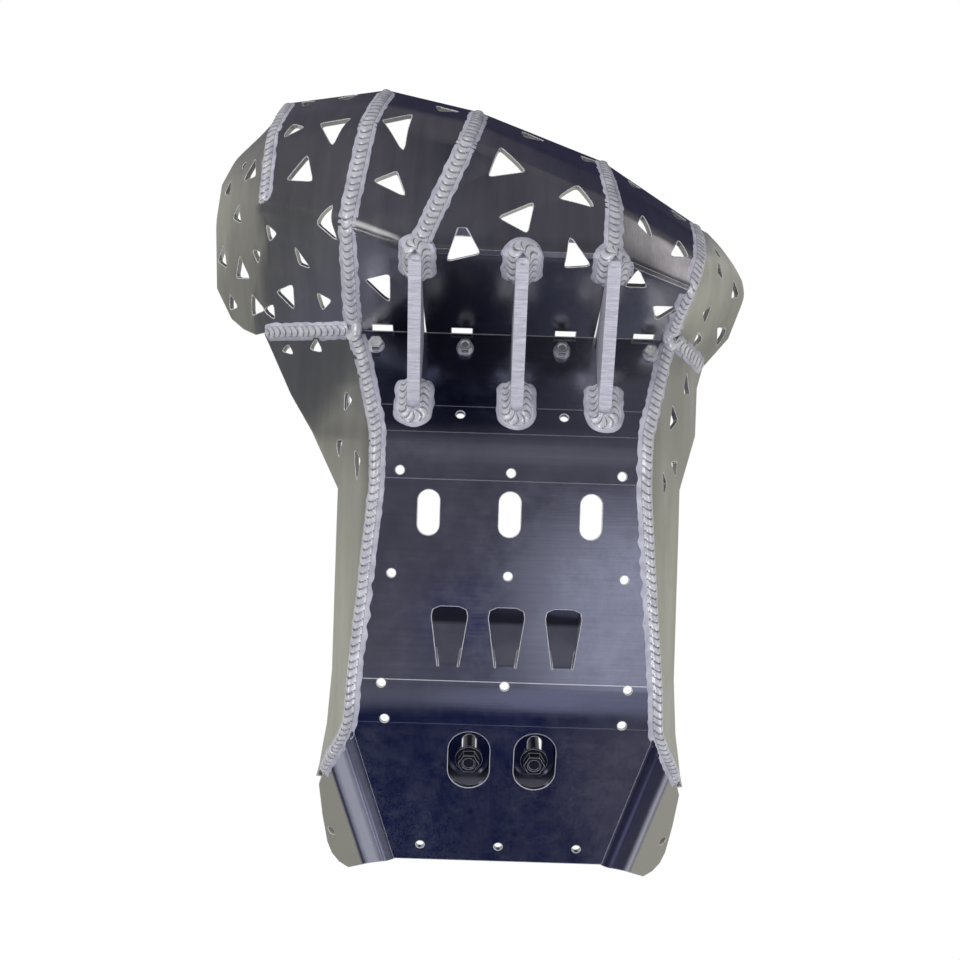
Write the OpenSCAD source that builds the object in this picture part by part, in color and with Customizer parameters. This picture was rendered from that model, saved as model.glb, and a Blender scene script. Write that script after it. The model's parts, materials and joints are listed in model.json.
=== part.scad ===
// Motorcycle skid plate with a welded exhaust pipe guard.
// The part stands as it hangs under the engine: +Z is up, -Y is the front of the
// motorcycle and the outside of the belly faces -Z. The origin is the middle of
// the flat belly on its outer face. Every sheet is drawn by its outer face and
// gets its thickness inward.

/* [Sheet] */
// Thickness of the folded aluminium sheet
sheet_t = 4; // [3:0.5:5]
// Curved length on each side of a fold line of the guard
fold_len = 7; // [5:0.5:9]

/* [Belly plate] */
// Length of the flat belly between its two long-radius bends
belly_len = 148; // [130:1:165]
// Width across the waist, between the side flange welds
waist_w = 204; // [195:1:215]
// Width at the rear bend
rear_w = 235; // [228:1:242]
// Width at the front edge, where the pipe guard begins
front_w = 250; // [244:1:258]
// Width of the flat tail edge between the two wings
tail_w = 161; // [140:1:175]
// Length of the straight front slope
front_len = 91; // [86:1:98]
// Rise of the front slope
front_angle = 28; // [24:1:30]
// Outer radius of the front bend
front_bend_r = 80; // [60:1:95]
// Length of the straight tail
tail_len = 121; // [114:1:130]
// Rise of the tail
tail_angle = 18; // [12:1:22]
// Outer radius of the rear bend
rear_bend_r = 108; // [80:1:120]

/* [Wings and flanges] */
// Angle of the wings to the tail
wing_angle = 38; // [32:1:44]
// Outer radius of the wing bends
wing_r = 20; // [14:1:24]
// Height of the side flanges along the belly
flange_h = 54; // [46:1:62]
// Width across the upper edges of the side flanges
flange_top_w = 272; // [262:1:284]

/* [Pipe guard] */
// Overall width of the guard
guard_w = 455; // [435:1:475]
// Reach of the guard ahead of the front edge of the belly plate
guard_reach = 202; // [190:1:215]
// Height of the guard from its lowest fold to its highest edge
guard_h = 148; // [140:1:158]
// Slit left open between the guard panels below the fins
slit_w = 1.4; // [0.8:0.1:2]
// Corner radius of the triangular cut-outs
tri_r = 2; // [1:0.25:3]

/* [Fins] */
// Thickness of the three gusset fins
fin_t = 9.5; // [8:0.5:11]
// Place of the left fin across the plate
fin_left_x = -75.5; // [-78:0.5:-73]
// Place of the middle fin
fin_mid_x = 3; // [-4:0.5:8]
// Place of the right fin
fin_right_x = 70; // [67:0.5:73]
// Height of the fin edge above the plate at its rear end
fin_proud = 3.5; // [2:0.5:6]

/* [Weld beads] */
// Width of a weld bead
bead_w = 9; // [7:0.5:10]
// Crown height of a weld bead
bead_h = 2.2; // [1.5:0.1:3]
// Distance from one ripple of the bead to the next
ripple = 7; // [6:0.5:9]
// Leg of the fillet welds round the fins
fin_leg = 6.5; // [5:0.5:8]

/* [Openings] */
// Diameter of the small screw holes
hole_d = 6.6; // [5:0.1:8]
// Half spacing of the screw holes across the belly
hole_x = 87; // [84:0.5:90]
// Width of the three drain slots
slot_w = 16.4; // [12:0.2:20]
// Length of the drain slots
slot_len = 34; // [28:0.5:40]
// Spacing of the drain slots
slot_pitch = 60.7; // [54:0.1:66]
// Spacing of the three bent-in tongues
tongue_pitch = 42.6; // [40:0.2:46]
// Length of a tongue
tongue_len = 44; // [36:0.5:48]
// Angle of the tongues to the belly
tongue_angle = 21; // [14:1:28]
// How far a tongue's level end reaches past its window
tongue_hook = 9; // [6:0.5:12]
// Width of the two oval access holes
oval_w = 31.5; // [28:0.5:34]
// Length of the oval access holes
oval_len = 48.5; // [44:0.5:52]

/* [Fasteners] */
// Spacing of the two rear mounting bolts
rear_bolt_pitch = 50; // [46:0.5:56]
// Diameter of the rear mounting bolts
rear_bolt_d = 10; // [8:0.5:10]
// Length of a slot in the rear bracket
bracket_slot_len = 26; // [20:0.5:28]
// Diameter of the frame tubes that the front straps hold
frame_tube_d = 32; // [28:0.5:34]
// Diameter of the front strap bolts
strap_bolt_d = 6; // [5:0.5:6]
// Spacing of the two bolts of one strap
strap_bolt_pitch = 70; // [66:0.5:74]
// Half distance between the middles of the two straps
strap_x = 73; // [70:0.5:75]

/* [Hidden] */
aluminium = [0.66, 0.67, 0.69];
bead_color = [0.85, 0.86, 0.88];
zinc = [0.74, 0.75, 0.77];
$fn = 48;
fit = 0.3;            // clearance between pieces that seat on each other
eps = 0.01;

// Vectors
function unit(v) = v / norm(v);
function mix(a, b, k) = a + (b - a) * k;
function sum(v, i = 0) = i == len(v) - 1 ? v[i] : v[i] + sum(v, i + 1);
// Offset that keeps the distance t from two planes with the inward normals a and b
function miter(a, b, t) = t * (a + b) / (1 + a * b);

// Side profile of the belly plate, outer face, as [y, z, slope]
belly_y1 = belly_len / 2 - 5;
belly_y0 = -belly_len / 2 - 5;
arc_n = 8;
front_arc = [for (i = [0:arc_n]) let (a = front_angle * i / arc_n)
    [belly_y0 - front_bend_r * sin(a), front_bend_r * (1 - cos(a)), -a]];
rear_arc = [for (i = [0:arc_n]) let (a = tail_angle * i / arc_n)
    [belly_y1 + rear_bend_r * sin(a), rear_bend_r * (1 - cos(a)), a]];
slope_y = front_arc[arc_n][0];
slope_z = front_arc[arc_n][1];
tail_y = rear_arc[arc_n][0];
tail_z = rear_arc[arc_n][1];
corner_y = slope_y - front_len * cos(front_angle);
corner_z = slope_z + front_len * sin(front_angle);
tail_end_y = tail_y + tail_len * cos(tail_angle);
tail_end_z = tail_z + tail_len * sin(tail_angle);
profile = concat(
    [[corner_y, corner_z, -front_angle]],
    [for (i = [arc_n:-1:0]) front_arc[i]],
    rear_arc,
    [[tail_end_y, tail_end_z, tail_angle]]);
profile_z_table = [for (p = profile) [p[0], p[1]]];
profile_a_table = [for (p = profile) [p[0], p[2]]];
function plate_z(y) = lookup(y, profile_z_table);
function plate_up(y) = let (a = lookup(y, profile_a_table)) [0, -sin(a), cos(a)];
slope_up = plate_up(corner_y);
slope_fwd = [0, -cos(front_angle), sin(front_angle)];
tail_up = plate_up(tail_end_y);
tail_back = [0, cos(tail_angle), sin(tail_angle)];

// Half width of the belly plate at the weld line, by y
edge_table = [
    [corner_y, front_w / 2],
    [slope_y, waist_w / 2 + 1],
    [belly_y0, waist_w / 2],
    [0, mix(waist_w, rear_w, 0.46) / 2],
    [belly_y1, mix(waist_w, rear_w, 0.87) / 2],
    [tail_y, rear_w / 2]
];
function edge_x(y) = lookup(y, edge_table);
function edge_pt(side, y) = [side * edge_x(y), y, plate_z(y)];

// Wing of the tail: a runs along its bend line, b across the developed sheet
hinge_w = rear_w / 2 - 3;
hinge_flat = [tail_w / 2 - hinge_w, tail_len];
hinge_len = norm(hinge_flat);
hinge_arc = wing_r * wing_angle * PI / 180;
function wing_o(side) = [side * hinge_w, tail_y, tail_z];
function wing_h(side) = unit([side * hinge_flat[0], 0, 0] + hinge_flat[1] * tail_back);
function wing_w(side) = unit([side * hinge_flat[1], 0, 0] - hinge_flat[0] * tail_back);
function wing_out(b) = b < hinge_arc ? wing_r * sin(b / wing_r * 180 / PI)
    : wing_r * sin(wing_angle) + (b - hinge_arc) * cos(wing_angle);
function wing_rise(b) = b < hinge_arc ? wing_r * (1 - cos(b / wing_r * 180 / PI))
    : wing_r * (1 - cos(wing_angle)) + (b - hinge_arc) * sin(wing_angle);
function wing_pt(side, a, b) = wing_o(side) + a * wing_h(side) + wing_out(b) * wing_w(side)
    + wing_rise(b) * tail_up;
function wing_bend(b) = min(b / wing_r * 180 / PI, wing_angle);
function wing_up(side, b) = unit(cos(wing_bend(b)) * tail_up - sin(wing_bend(b)) * wing_w(side));
// Line where a side flange meets the front edge of the wing, and the rest of the outline
wing_front = [[0, 3], [5, 7], [9.5, 10.6], [14, 14], [38, 40], [57, 59]];
wing_tip = [67.5, 61.5];
wing_back = concat([wing_tip, [100, 71], [128, 77], [139, 76], [146, 70], [149, 60]],
    [[hinge_len + 10, 30], [hinge_len + 3, 12], [hinge_len, 0]]);
wing_hole = [114, 66];

// Guard: columns of points, given as [across, ahead, up] from the front edge of the plate
kx = guard_w / 455;
ky = guard_reach / 202;
kz = guard_h / 148;
function g(p) = [p[0] * kx, corner_y - p[1] * ky, corner_z + p[2] * kz];
function edge_g(x) = [x, corner_y, corner_z];
seam_1_x = -front_w / 2 - 3;
seam_4_x = front_w / 2;
seam_2_x = fin_left_x + fin_t / 2 + slit_w / 2;
seam_3_x = fin_right_x - fin_t / 2 - slit_w / 2;
low_fold = g([0, 50, -70]);
// Seven levels: lower edge, halfway, lower fold, halfway, upper fold, crest fold, top edge
function levels(e, p1, p2, p3, p4) = [e, mix(e, p1, 0.5), p1, mix(p1, p2, 0.5), p2, p3, p4];
guard_ctrl = [
    [g([-241, 16, 72]), g([-256, 43, 78]), g([-256, 98, 68]), g([-252, 130, 68]),
        g([-241, 152, 68]), g([-218, 174, 66]), g([-203, 189, 65])],
    [g([-228, 6, 62]), g([-238, 49, 54]), g([-237, 97, 36]), g([-235, 130, 43]),
        g([-226, 155, 48]), g([-211, 175, 53]), g([-200, 191, 62])],
    [g([-215, 0, 50]), g([-219, 50, 32]), g([-217, 95, 8]), g([-218, 128, 19]),
        g([-213, 156, 29]), g([-204, 178, 43]), g([-198, 195, 61])],
    levels(g([-199, 2, 38]), g([-199, 93, -16]), g([-200, 157, 10]), g([-197, 180, 32]), g([-196, 199, 60])),
    levels(edge_g(seam_1_x), g([-128, 71, -60]), g([-118, 156, -28]), g([-113, 179, -4]), g([-109, 202, 30])),
    levels(edge_g(seam_2_x), [fin_left_x + 0.5, low_fold[1], low_fold[2]],
        g([-41, 139, -40]), g([-35, 164, -12]), g([-33, 185, 26])),
    levels(edge_g(seam_3_x), [fin_right_x - 1, low_fold[1], low_fold[2]],
        g([72, 95, -46]), g([70, 123, -14]), g([69, 147, 24])),
    levels(edge_g(seam_4_x), g([131, 31, -52]), g([142, 58, -30]), g([146, 81, -2]), g([149, 100, 34])),
    [g([138, -5, 12]), g([146, 16, 2]), g([154, 40, -6]), g([158, 54, 0]),
        g([159, 67, 6]), g([157, 84, 20]), g([154, 98, 40])],
    [g([150, -11, 30]), g([166, 14, 36]), g([177, 46, 36]), g([177, 59, 37]),
        g([175, 71, 38]), g([167, 86, 42]), g([158, 98, 46])],
    [g([160, -16, 46]), g([184, 11, 60]), g([199, 49, 68]), g([196, 62, 68]),
        g([190, 73, 68]), g([176, 88, 61]), g([162, 98, 52])]
];
G_EDGE_L = 0;
G_DART = 3;
G_SEAM_1 = 4;
G_SEAM_2 = 5;
G_SEAM_3 = 6;
G_SEAM_4 = 7;
G_EDGE_R = 10;

// A fold is four points on a short curve round the fold line
function fold(a, p, b) = let (s = p + fold_len * unit(a - p), e = p + fold_len * unit(b - p))
    [for (k = [0:1 / 3:1]) mix(mix(s, p, k), mix(p, e, k), k)];
function column(c) = concat(
    [c[0], mix(c[0], c[1], 0.5), c[1], mix(c[1], c[2], 0.5)],
    fold(c[1], c[2], c[3]), [c[3]], fold(c[3], c[4], c[5]), fold(c[4], c[5], c[6]), [c[6]]);
guard = [for (c = guard_ctrl) column(c)];
LOW_FOLD_ROW = 4;     // first row of the lower fold in a column
rows = len(guard[0]);

// Inward offset of each point of a grid, square to the facets round it
function facet_in(m, i, r) = unit(cross(m[i + 1][r + 1] - m[i][r], m[i][r + 1] - m[i + 1][r])) * -1;
function offset_at(m, i, r, t) = let (
    ns = [for (a = [max(i - 1, 0):min(i, len(m) - 2)]) for (b = [max(r - 1, 0):min(r, len(m[0]) - 2)])
        facet_in(m, a, b)],
    n = unit(sum(ns))) t * n / ((sum(ns) * n) / len(ns));
front_offset = let (w1 = unit(low_fold - [0, corner_y, corner_z])) miter(slope_up, [0, w1[2], -w1[1]], sheet_t);
guard_in = [for (i = [0:len(guard) - 1]) [for (r = [0:rows - 1])
    r == 0 && i >= G_SEAM_1 && i <= G_SEAM_4 ? front_offset : offset_at(guard, i, r, sheet_t)]];

// Closed shell between a grid of outer points and the same grid moved by its offsets
module shell(m, v) {
    c = len(m);
    n = len(m[0]);
    pts = concat([for (i = [0:c - 1]) for (r = [0:n - 1]) m[i][r]],
        [for (i = [0:c - 1]) for (r = [0:n - 1]) m[i][r] + v[i][r]]);
    function o(i, r) = i * n + r;
    function q(i, r) = c * n + i * n + r;
    function two(a, b, d, e) = [[a, b, d], [a, d, e]];
    faces = [
        for (i = [0:c - 2]) for (r = [0:n - 2])
            each concat(two(o(i, r), o(i, r + 1), o(i + 1, r + 1), o(i + 1, r)),
                two(q(i, r), q(i + 1, r), q(i + 1, r + 1), q(i, r + 1))),
        for (i = [0:c - 2]) each concat(two(o(i, 0), o(i + 1, 0), q(i + 1, 0), q(i, 0)),
            two(o(i + 1, n - 1), o(i, n - 1), q(i, n - 1), q(i + 1, n - 1))),
        for (r = [0:n - 2]) each concat(two(o(0, r), q(0, r), q(0, r + 1), o(0, r + 1)),
            two(o(c - 1, r), o(c - 1, r + 1), q(c - 1, r + 1), q(c - 1, r)))
    ];
    polyhedron(pts, faces);
}
// Moves a boundary column away from its seam
function pull(p, toward, d) = [for (r = [0:len(p) - 1])
    p[r] + (is_list(d) ? d[r] : d) * unit(toward[r] - p[r])];
function seam_gap(wide) = [for (r = [0:rows - 1]) r < LOW_FOLD_ROW ? wide / 2 : fit / 2];
module guard_panel(first, last, gap_first, gap_last) {
    m = [for (i = [first:last])
        i == first && gap_first > 0 ? pull(guard[i], guard[i + 1], seam_gap(gap_first))
        : i == last && gap_last > 0 ? pull(guard[i], guard[i - 1], seam_gap(gap_last)) : guard[i]];
    v = [for (i = [first:last]) guard_in[i]];
    // the lower edge stays a little clear of the front edge of the plate
    m2 = [for (c = m) concat([c[0] + (fit / 2) * unit(c[1] - c[0])], [for (r = [1:rows - 1]) c[r]])];
    parts = last - first == 1 ? 4 : 2;
    shell(finer(m2, parts), finer(v, parts));
}
// Extra columns between the given ones share out the twist of the sheet
function finer(m, parts) = concat([for (i = [0:len(m) - 2]) for (k = [0:parts - 1])
    [for (r = [0:len(m[0]) - 1]) mix(m[i][r], m[i + 1][r], k / parts)]], [m[len(m) - 1]]);

// Triangular cut-outs. A frame is [origin, x, y, inward normal].
function tri_corner(a, p, b, r) = let (
    u = unit(a - p), w = unit(b - p), half = acos(u * w) / 2,
    d = min(r / tan(half), 0.35 * min(norm(a - p), norm(b - p))))
    [for (k = [0:0.5:1]) mix(mix(p + d * u, p, k), mix(p, p + d * w, k), k)];
function soft_tri(t) = concat(tri_corner(t[2], t[0], t[1], tri_r), tri_corner(t[0], t[1], t[2], tri_r),
    tri_corner(t[1], t[2], t[0], tri_r));
module cut(f, t, depth = 9) {
    multmatrix([[f[1][0], f[2][0], f[3][0], f[0][0]], [f[1][1], f[2][1], f[3][1], f[0][1]],
        [f[1][2], f[2][2], f[3][2], f[0][2]], [0, 0, 0, 1]])
        linear_extrude(2 * depth, center = true) polygon(soft_tri(t));
}
// Frame at the foot of column a of level j: x runs to column b and y up the sheet
function face_frame(m, a, b, j) = let (
    x = unit(m[b][j] - m[a][j]), n = unit(cross(x, m[a][j + 1] - m[a][j]))) [m[a][j], x, cross(n, x), n];
function fold_frame(m, a, b, j) = let (
    x = unit(m[b][j] - m[a][j]),
    n = unit(cross(x, unit(m[a][j + 1] - m[a][j]) + unit(m[a][j] - m[a][j - 1]))))
    [m[a][j], x, cross(n, x), n];
// Frame inside a cell, at the share s across it and h up it
function cell_frame(m, a, b, j, s, h) = let (
    x = unit(mix(m[b][j] - m[a][j], m[b][j + 1] - m[a][j + 1], h)),
    n = unit(cross(x, mix(m[a][j + 1] - m[a][j], m[b][j + 1] - m[b][j], s))))
    [mix(mix(m[a][j], m[b][j], s), mix(m[a][j + 1], m[b][j + 1], s), h), x, cross(n, x), n];
function even_tri(r, turn) = [for (k = [0:2]) r * [cos(turn + 120 * k), sin(turn + 120 * k)]];
module cuts(f, list, depth = 9) for (t = list) cut(f, t, depth);
// Each entry is [column, next column, level, share across, share up, size, turn]
module cell_cuts(m, list) for (e = list)
    cut(cell_frame(m, e[0], e[1], e[2], e[3], e[4]), even_tri(e[5], e[6]));

module guard_left() color(aluminium) difference() {
    guard_panel(G_EDGE_L, G_SEAM_1, 0, fit);
    // the dart is cut open down to the lower fold and welded shut
    dart_kerf();
    cuts(face_frame(guard_ctrl, 3, 4, 0), [
        [[47, 72], [58, 52], [47, 56]], [[22, 89], [32, 81], [21, 74]], [[35, 40], [29, 18], [15, 34]],
        [[57, 33], [70, 26], [57, 17]], [[9, 24], [6, 10], [-5, 18]]]);
    cuts(fold_frame(guard_ctrl, 3, 4, 2), [[[66, 12], [76, -15], [56, -5]]], 13);
    cuts(face_frame(guard_ctrl, 3, 4, 2), [[[17, 50], [36, 28], [10, 25]]]);
    cuts(fold_frame(guard_ctrl, 3, 4, 4), [[[43, 8], [71, 11], [64, -19]], [[16, 12], [31, 4], [14, -6]]], 13);
    cuts(face_frame(guard_ctrl, 3, 4, 5), [[[3, 32], [18, 31], [14, 16]], [[38, 31], [56, 38], [53, 22]]]);
    cell_cuts(guard_ctrl, [
        [1, 2, 1, 0.62, 0.05, 13, 80], [2, 3, 1, 0.5, 0.25, 7.5, 20], [0, 1, 1, 0.45, 0.4, 12, 60],
        [1, 2, 1, 0.45, 0.96, 10, 190], [0, 1, 2, 0.6, 0.75, 9, 70], [2, 3, 3, 0.1, 0.02, 12.5, 95],
        [1, 2, 3, 0.35, 0.35, 5, 30], [2, 3, 0, 0.2, 0.45, 11.5, 100], [0, 1, 0, 0.62, 0.5, 9, 100]]);
}
module dart_kerf() {
    // a thin wedge that follows the dart from the lower fold to the top edge
    r0 = LOW_FOLD_ROW + 2;
    p = guard[G_DART];
    v = guard_in[G_DART];
    side = unit(guard[G_SEAM_1][r0] - p[r0]);
    m = [for (s = [-1, 1]) [for (r = [r0:rows]) let (k = min(r, rows - 1), past = r == rows ? 3 : 0)
        p[k] - 0.5 * v[k] + past * unit(p[rows - 1] - p[rows - 2]) + s * fit / 2 * side]];
    w = [for (s = [0, 1]) [for (r = [r0:rows]) 2 * v[min(r, rows - 1)]]];
    shell(m, w);
}
module guard_mid_left() color(aluminium) difference() {
    guard_panel(G_SEAM_1, G_SEAM_2, fit, slit_w);
    edge_notch(-strap_x - strap_bolt_pitch / 2 + 4);
    cuts(face_frame(guard_ctrl, 4, 5, 0), [[[12, 47], [32, 56], [31, 28]]]);
    cuts(face_frame(guard_ctrl, 4, 5, 2), [[[1, 41], [14, 56], [31, 38]]]);
    cuts(fold_frame(guard_ctrl, 4, 5, 4), [[[9, 8], [27, 28], [36, -20]]], 13);
    cuts(face_frame(guard_ctrl, 4, 5, 5), [[[40, 30], [62, 26], [47, 13]]]);
}
module guard_center() color(aluminium) difference() {
    guard_panel(G_SEAM_2, G_SEAM_3, slit_w, slit_w);
    for (s = [-1, 1]) edge_notch(s * (strap_x - strap_bolt_pitch / 2 + 3));
    cuts(fold_frame(guard_ctrl, 5, 6, 2), [
        [[32, 22], [47, -1], [22, -8]], [[112, 13], [129, -8], [109, -10]]], 13);
    cuts(face_frame(guard_ctrl, 5, 6, 2), [[[86, 46], [81, 18], [59, 31]]]);
    cuts(fold_frame(guard_ctrl, 5, 6, 4), [
        [[23, 15], [50, -4], [26, -20]], [[90, 5], [109, -11], [80, -15]]], 13);
    cuts(face_frame(guard_ctrl, 5, 6, 5), [[[32, 36], [54, 34], [38, 17]], [[84, 34], [100, 38], [89, 20]]]);
}
module guard_mid_right() color(aluminium) difference() {
    guard_panel(G_SEAM_3, G_SEAM_4, slit_w, fit);
    edge_notch(strap_x + strap_bolt_pitch / 2 - 5);
    cuts(face_frame(guard_ctrl, 6, 7, 0), [[[24, 76], [33, 58], [16, 57]], [[40, 39], [60, 40], [45, 22]]]);
    cuts(fold_frame(guard_ctrl, 6, 7, 4), [
        [[24, 13], [37, -11], [22, -6]], [[58, 9], [69, -6], [54, -17]]], 13);
    cuts(face_frame(guard_ctrl, 6, 7, 5), [[[17, 38], [31, 40], [22, 24]], [[60, 36], [76, 32], [64, 15]]]);
}
module guard_right() color(aluminium) difference() {
    guard_panel(G_SEAM_4, G_EDGE_R, fit, 0);
    cell_cuts(guard_ctrl, [
        [8, 9, 4, 0.6, 0.5, 9, 80], [8, 9, 3, 0.4, 0.3, 9.5, 75], [9, 10, 2, 0.45, 0.2, 10.5, 100],
        [8, 9, 1, 0.3, 0.3, 9.5, 60], [9, 10, 1, 0.5, 0.0, 11, 40], [8, 9, 0, 0.5, 0.5, 9, 20]]);
}
// Short notch in the lower edge of the guard beside each strap bolt
module edge_notch(x) {
    translate([x, corner_y, corner_z]) cube([slot_w, 10, 10], center = true);
}

// Side flanges: stations from front to rear, each with four points from weld line to upper edge
function station(b, t, f, q) = [b, mix(b, t, f), mix(b, t, q), t];
function top_pt(side, y, up) = [side * flange_top_w / 2, y, up];
// Stations between two others, at the shares ks, with their feet on the edge of the plate
function between(side, s0, s1, ks) = [for (k = ks) let (y = mix(s0[0][1], s1[0][1], k))
    concat([edge_pt(side, y)], [for (j = [1:3]) mix(s0[j], s1[j], k)])];
function flange_rear(side) = let (
    s1 = station(edge_pt(side, belly_y1), top_pt(side, belly_y1 + 4, flange_h), 0.5, 0.85),
    s2 = station(edge_pt(side, tail_y), top_pt(side, 116, flange_h + 2) + [side * 3, 0, 0], 0.5, 0.85))
    concat([station(edge_pt(side, 0), top_pt(side, 4, flange_h), 0.5, 0.85), s1],
        between(side, s1, s2, [0.25, 0.5, 0.75]), [s2],
        [for (i = [1:5]) let (b = wing_pt(side, wing_front[i][0], wing_front[i][1]))
            station(b, i == 5 ? b + [side * 1.5, 3, 5]
                : top_pt(side, [122, 128, 134, 150][i - 1], flange_h + [2.7, 3.3, 4, 6][i - 1])
                    + [side * [4, 5, 6, 8.5][i - 1], 0, 0], 0.5, 0.85)]);
wing_stations = 5;
left_sheet = let (
    e = [for (i = [4:-1:2]) guard_ctrl[i][0]],
    tip = mix(e[1], e[2], 0.5), shoulder = g([-163, -80, 34]), mid = g([-183, -49, 42]),
    b1 = edge_pt(-1, corner_y + 41), crease = mix(e[0], shoulder, 0.5),
    s1 = station(edge_pt(-1, slope_y), shoulder, 0.9, 0.96),
    s2 = station(edge_pt(-1, belly_y0), top_pt(-1, belly_y0 + 8, flange_h + 1), 0.6, 0.85),
    s00 = [e[0], mix(e[0], e[1], 0.12), e[1], tip], s0 = [b1, crease, mix(crease, mid, 0.85), mid])
    concat([s00], between(-1, s00, s0, [0.3, 0.65]), [s0, s1], between(-1, s1, s2, [0.25, 0.5, 0.75]), [s2,
        station(edge_pt(-1, belly_y0 + 30), top_pt(-1, belly_y0 + 34, flange_h), 0.5, 0.85)],
        flange_rear(-1));
right_sheet = let (
    e = [for (i = [7:10]) guard_ctrl[i][0]],
    b1 = edge_pt(1, corner_y + 36),
    s1 = station(edge_pt(1, slope_y), g([153, -74, 33]), 0.4, 0.75),
    s2 = station(edge_pt(1, belly_y0), top_pt(1, belly_y0 + 1, flange_h + 1), 0.5, 0.85))
    concat([e,
        station(b1, g([155, -34, 42]), 0.35, 0.7), s1], between(1, s1, s2, [0.25, 0.5, 0.75]), [s2,
        station(edge_pt(1, belly_y0 + 30), top_pt(1, belly_y0 + 34, flange_h), 0.5, 0.85)],
        flange_rear(1));
// The grid of a flange runs front to rear; the left one is turned so that its faces look outward
function flip(m) = [for (i = [len(m) - 1:-1:0]) m[i]];
function flange_in(m, m0, side, i, r) = let (
    k = side > 0 ? i : len(m) - 1 - i,
    n = facet_in(m, min(i, len(m) - 2), 0))
    k == 0 ? (side < 0 ? left_in[r] : guard_in[G_SEAM_4 + r][0])
    : r == 0 ? miter(base_up(m0, side, k), n, sheet_t) : offset_at(m, i, r, sheet_t);
// Inward normal of the plate or wing under station k
function base_up(m0, side, k) = let (w = k - (len(m0) - 1 - wing_stations))
    w <= 0 ? plate_up(m0[k][0][1]) : wing_up(side, wing_front[w][1]);
// The front edge of the left flange follows three columns of the guard
function left_follow(c) = [c[G_SEAM_1], mix(c[G_SEAM_1], c[G_DART], 0.12), c[G_DART],
    mix(c[G_DART], c[G_DART - 1], 0.5)];
left_in = left_follow([for (c = guard_in) c[0]]);
left_up = left_follow([for (c = guard) c[1]]);
module flange(m0, side) {
    m = side > 0 ? m0 : flip(m0);
    last = len(m) - 1;
    v = [for (i = [0:last]) [for (r = [0:3]) flange_in(m, m0, side, i, r)]];
    front = side > 0 ? 0 : last;
    m2 = [for (i = [0:last]) i == front ? pull(m[i], m[i + side], fit) :
        [for (r = [0:3]) r == 0 ? m[i][0] + fit * unit(m[i][1] - m[i][0]) : m[i][r]]];
    shell(m2, v);
}
module left_flange() color(aluminium) difference() {
    flange(left_sheet, -1);
    flange_cuts(left_sheet, 0, [[[65, 9], [60, 17], [73, 14]], [[36, 5], [30, 16], [44, 13]],
        [[22, 32], [17, 46], [27, 53]], [[3, 47], [-9, 57], [1, 65]]]);
    flange_cuts(left_sheet, 4, [[[56, 8], [46, 7], [51, 23]], [[26, 14], [15, 23], [21, 41]]]);
}
module right_flange() color(aluminium) difference() {
    flange(right_sheet, 1);
    flange_cuts(right_sheet, 0, [[[31, 13], [46, 29], [34, 33]]]);
    flange_cuts(right_sheet, 2, [[[49, -26], [58, -13], [39, -4]], [[38, 19], [52, 19], [46, 32]],
        [[21, 24], [28, 35], [20, 44]]]);
}
// x runs up the flange from its weld line and y runs rearward
module flange_cuts(m, i, list) {
    x = unit(m[i][3] - m[i][0]);
    n = unit(cross(x, m[i + 1][0] - m[i][0]));
    cuts([m[i][0], x, cross(n, x), n], list, 11);
}

// Belly plate
inset = 0.75 * sheet_t;
module plate_strip() {
    outer = [for (p = profile) [p[0], p[1]]];
    inner = [for (i = [0:len(profile) - 1]) let (p = profile[i])
        i == 0 ? [corner_y + front_offset[1] + fit / 2, corner_z + front_offset[2]]
        : [p[0] - sheet_t * sin(p[2]), p[1] + sheet_t * cos(p[2])]];
    w = front_w + 20;
    translate([-w / 2, 0, 0]) rotate([90, 0, 90]) linear_extrude(w)
        polygon(concat([[outer[0][0] + fit / 2, outer[0][1]]],
            [for (i = [1:len(outer) - 1]) outer[i]], [for (i = [len(inner) - 1:-1:0]) inner[i]]));
}
module plate_outline() {
    ys = [corner_y, slope_y, belly_y0, 0, belly_y1];
    half = concat([for (y = ys) [edge_x(y) - inset, y]],
        [[hinge_w, tail_y], [tail_w / 2, tail_end_y + sheet_t]]);
    pts = concat(half, [for (i = [len(half) - 1:-1:0]) [-half[i][0], half[i][1]]]);
    translate([0, 0, -5]) linear_extrude(120) polygon(concat([[edge_x(corner_y) - inset, corner_y - 9]],
        pts, [[-edge_x(corner_y) + inset, corner_y - 9]]));
}
module wing(side) {
    path = concat([[-6, 0]], [for (i = [0:arc_n]) let (a = wing_angle * i / arc_n)
        [wing_r * sin(a), wing_r * (1 - cos(a))]], [[wing_out(90), wing_rise(90)]]);
    in_path = concat([[-6, sheet_t]], [for (i = [0:arc_n]) let (a = wing_angle * i / arc_n)
        [(wing_r - sheet_t) * sin(a), wing_r - (wing_r - sheet_t) * cos(a)]],
        [[wing_out(90) - sheet_t * sin(wing_angle), wing_rise(90) + sheet_t * cos(wing_angle)]]);
    outline = concat([[0.5, -6]],
        [for (p = wing_front) [p[0], wing_out(p[1])] + 0.95 * inset * [1, -1]],
        [for (p = wing_back) [p[0], wing_out(p[1])]], [[hinge_len, -6]]);
    h = wing_h(-1);
    w = wing_w(-1);
    o = wing_o(-1);
    mirror([side < 0 ? 0 : 1, 0, 0])
        multmatrix([[h[0], w[0], tail_up[0], o[0]], [h[1], w[1], tail_up[1], o[1]],
            [h[2], w[2], tail_up[2], o[2]], [0, 0, 0, 1]]) difference() {
            intersection() {
                rotate([90, 0, 90]) translate([0, 0, -5]) linear_extrude(180)
                    polygon(concat(path, [for (i = [len(in_path) - 1:-1:0]) in_path[i]]));
                translate([0, 0, -5]) linear_extrude(90) polygon(outline);
            }
            translate([wing_hole[0], wing_out(wing_hole[1]), wing_rise(wing_hole[1])])
                rotate([wing_angle, 0, 0]) cylinder(d = hole_d + 1, h = 30, center = true);
        }
}
tongue_w = 15;
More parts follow.
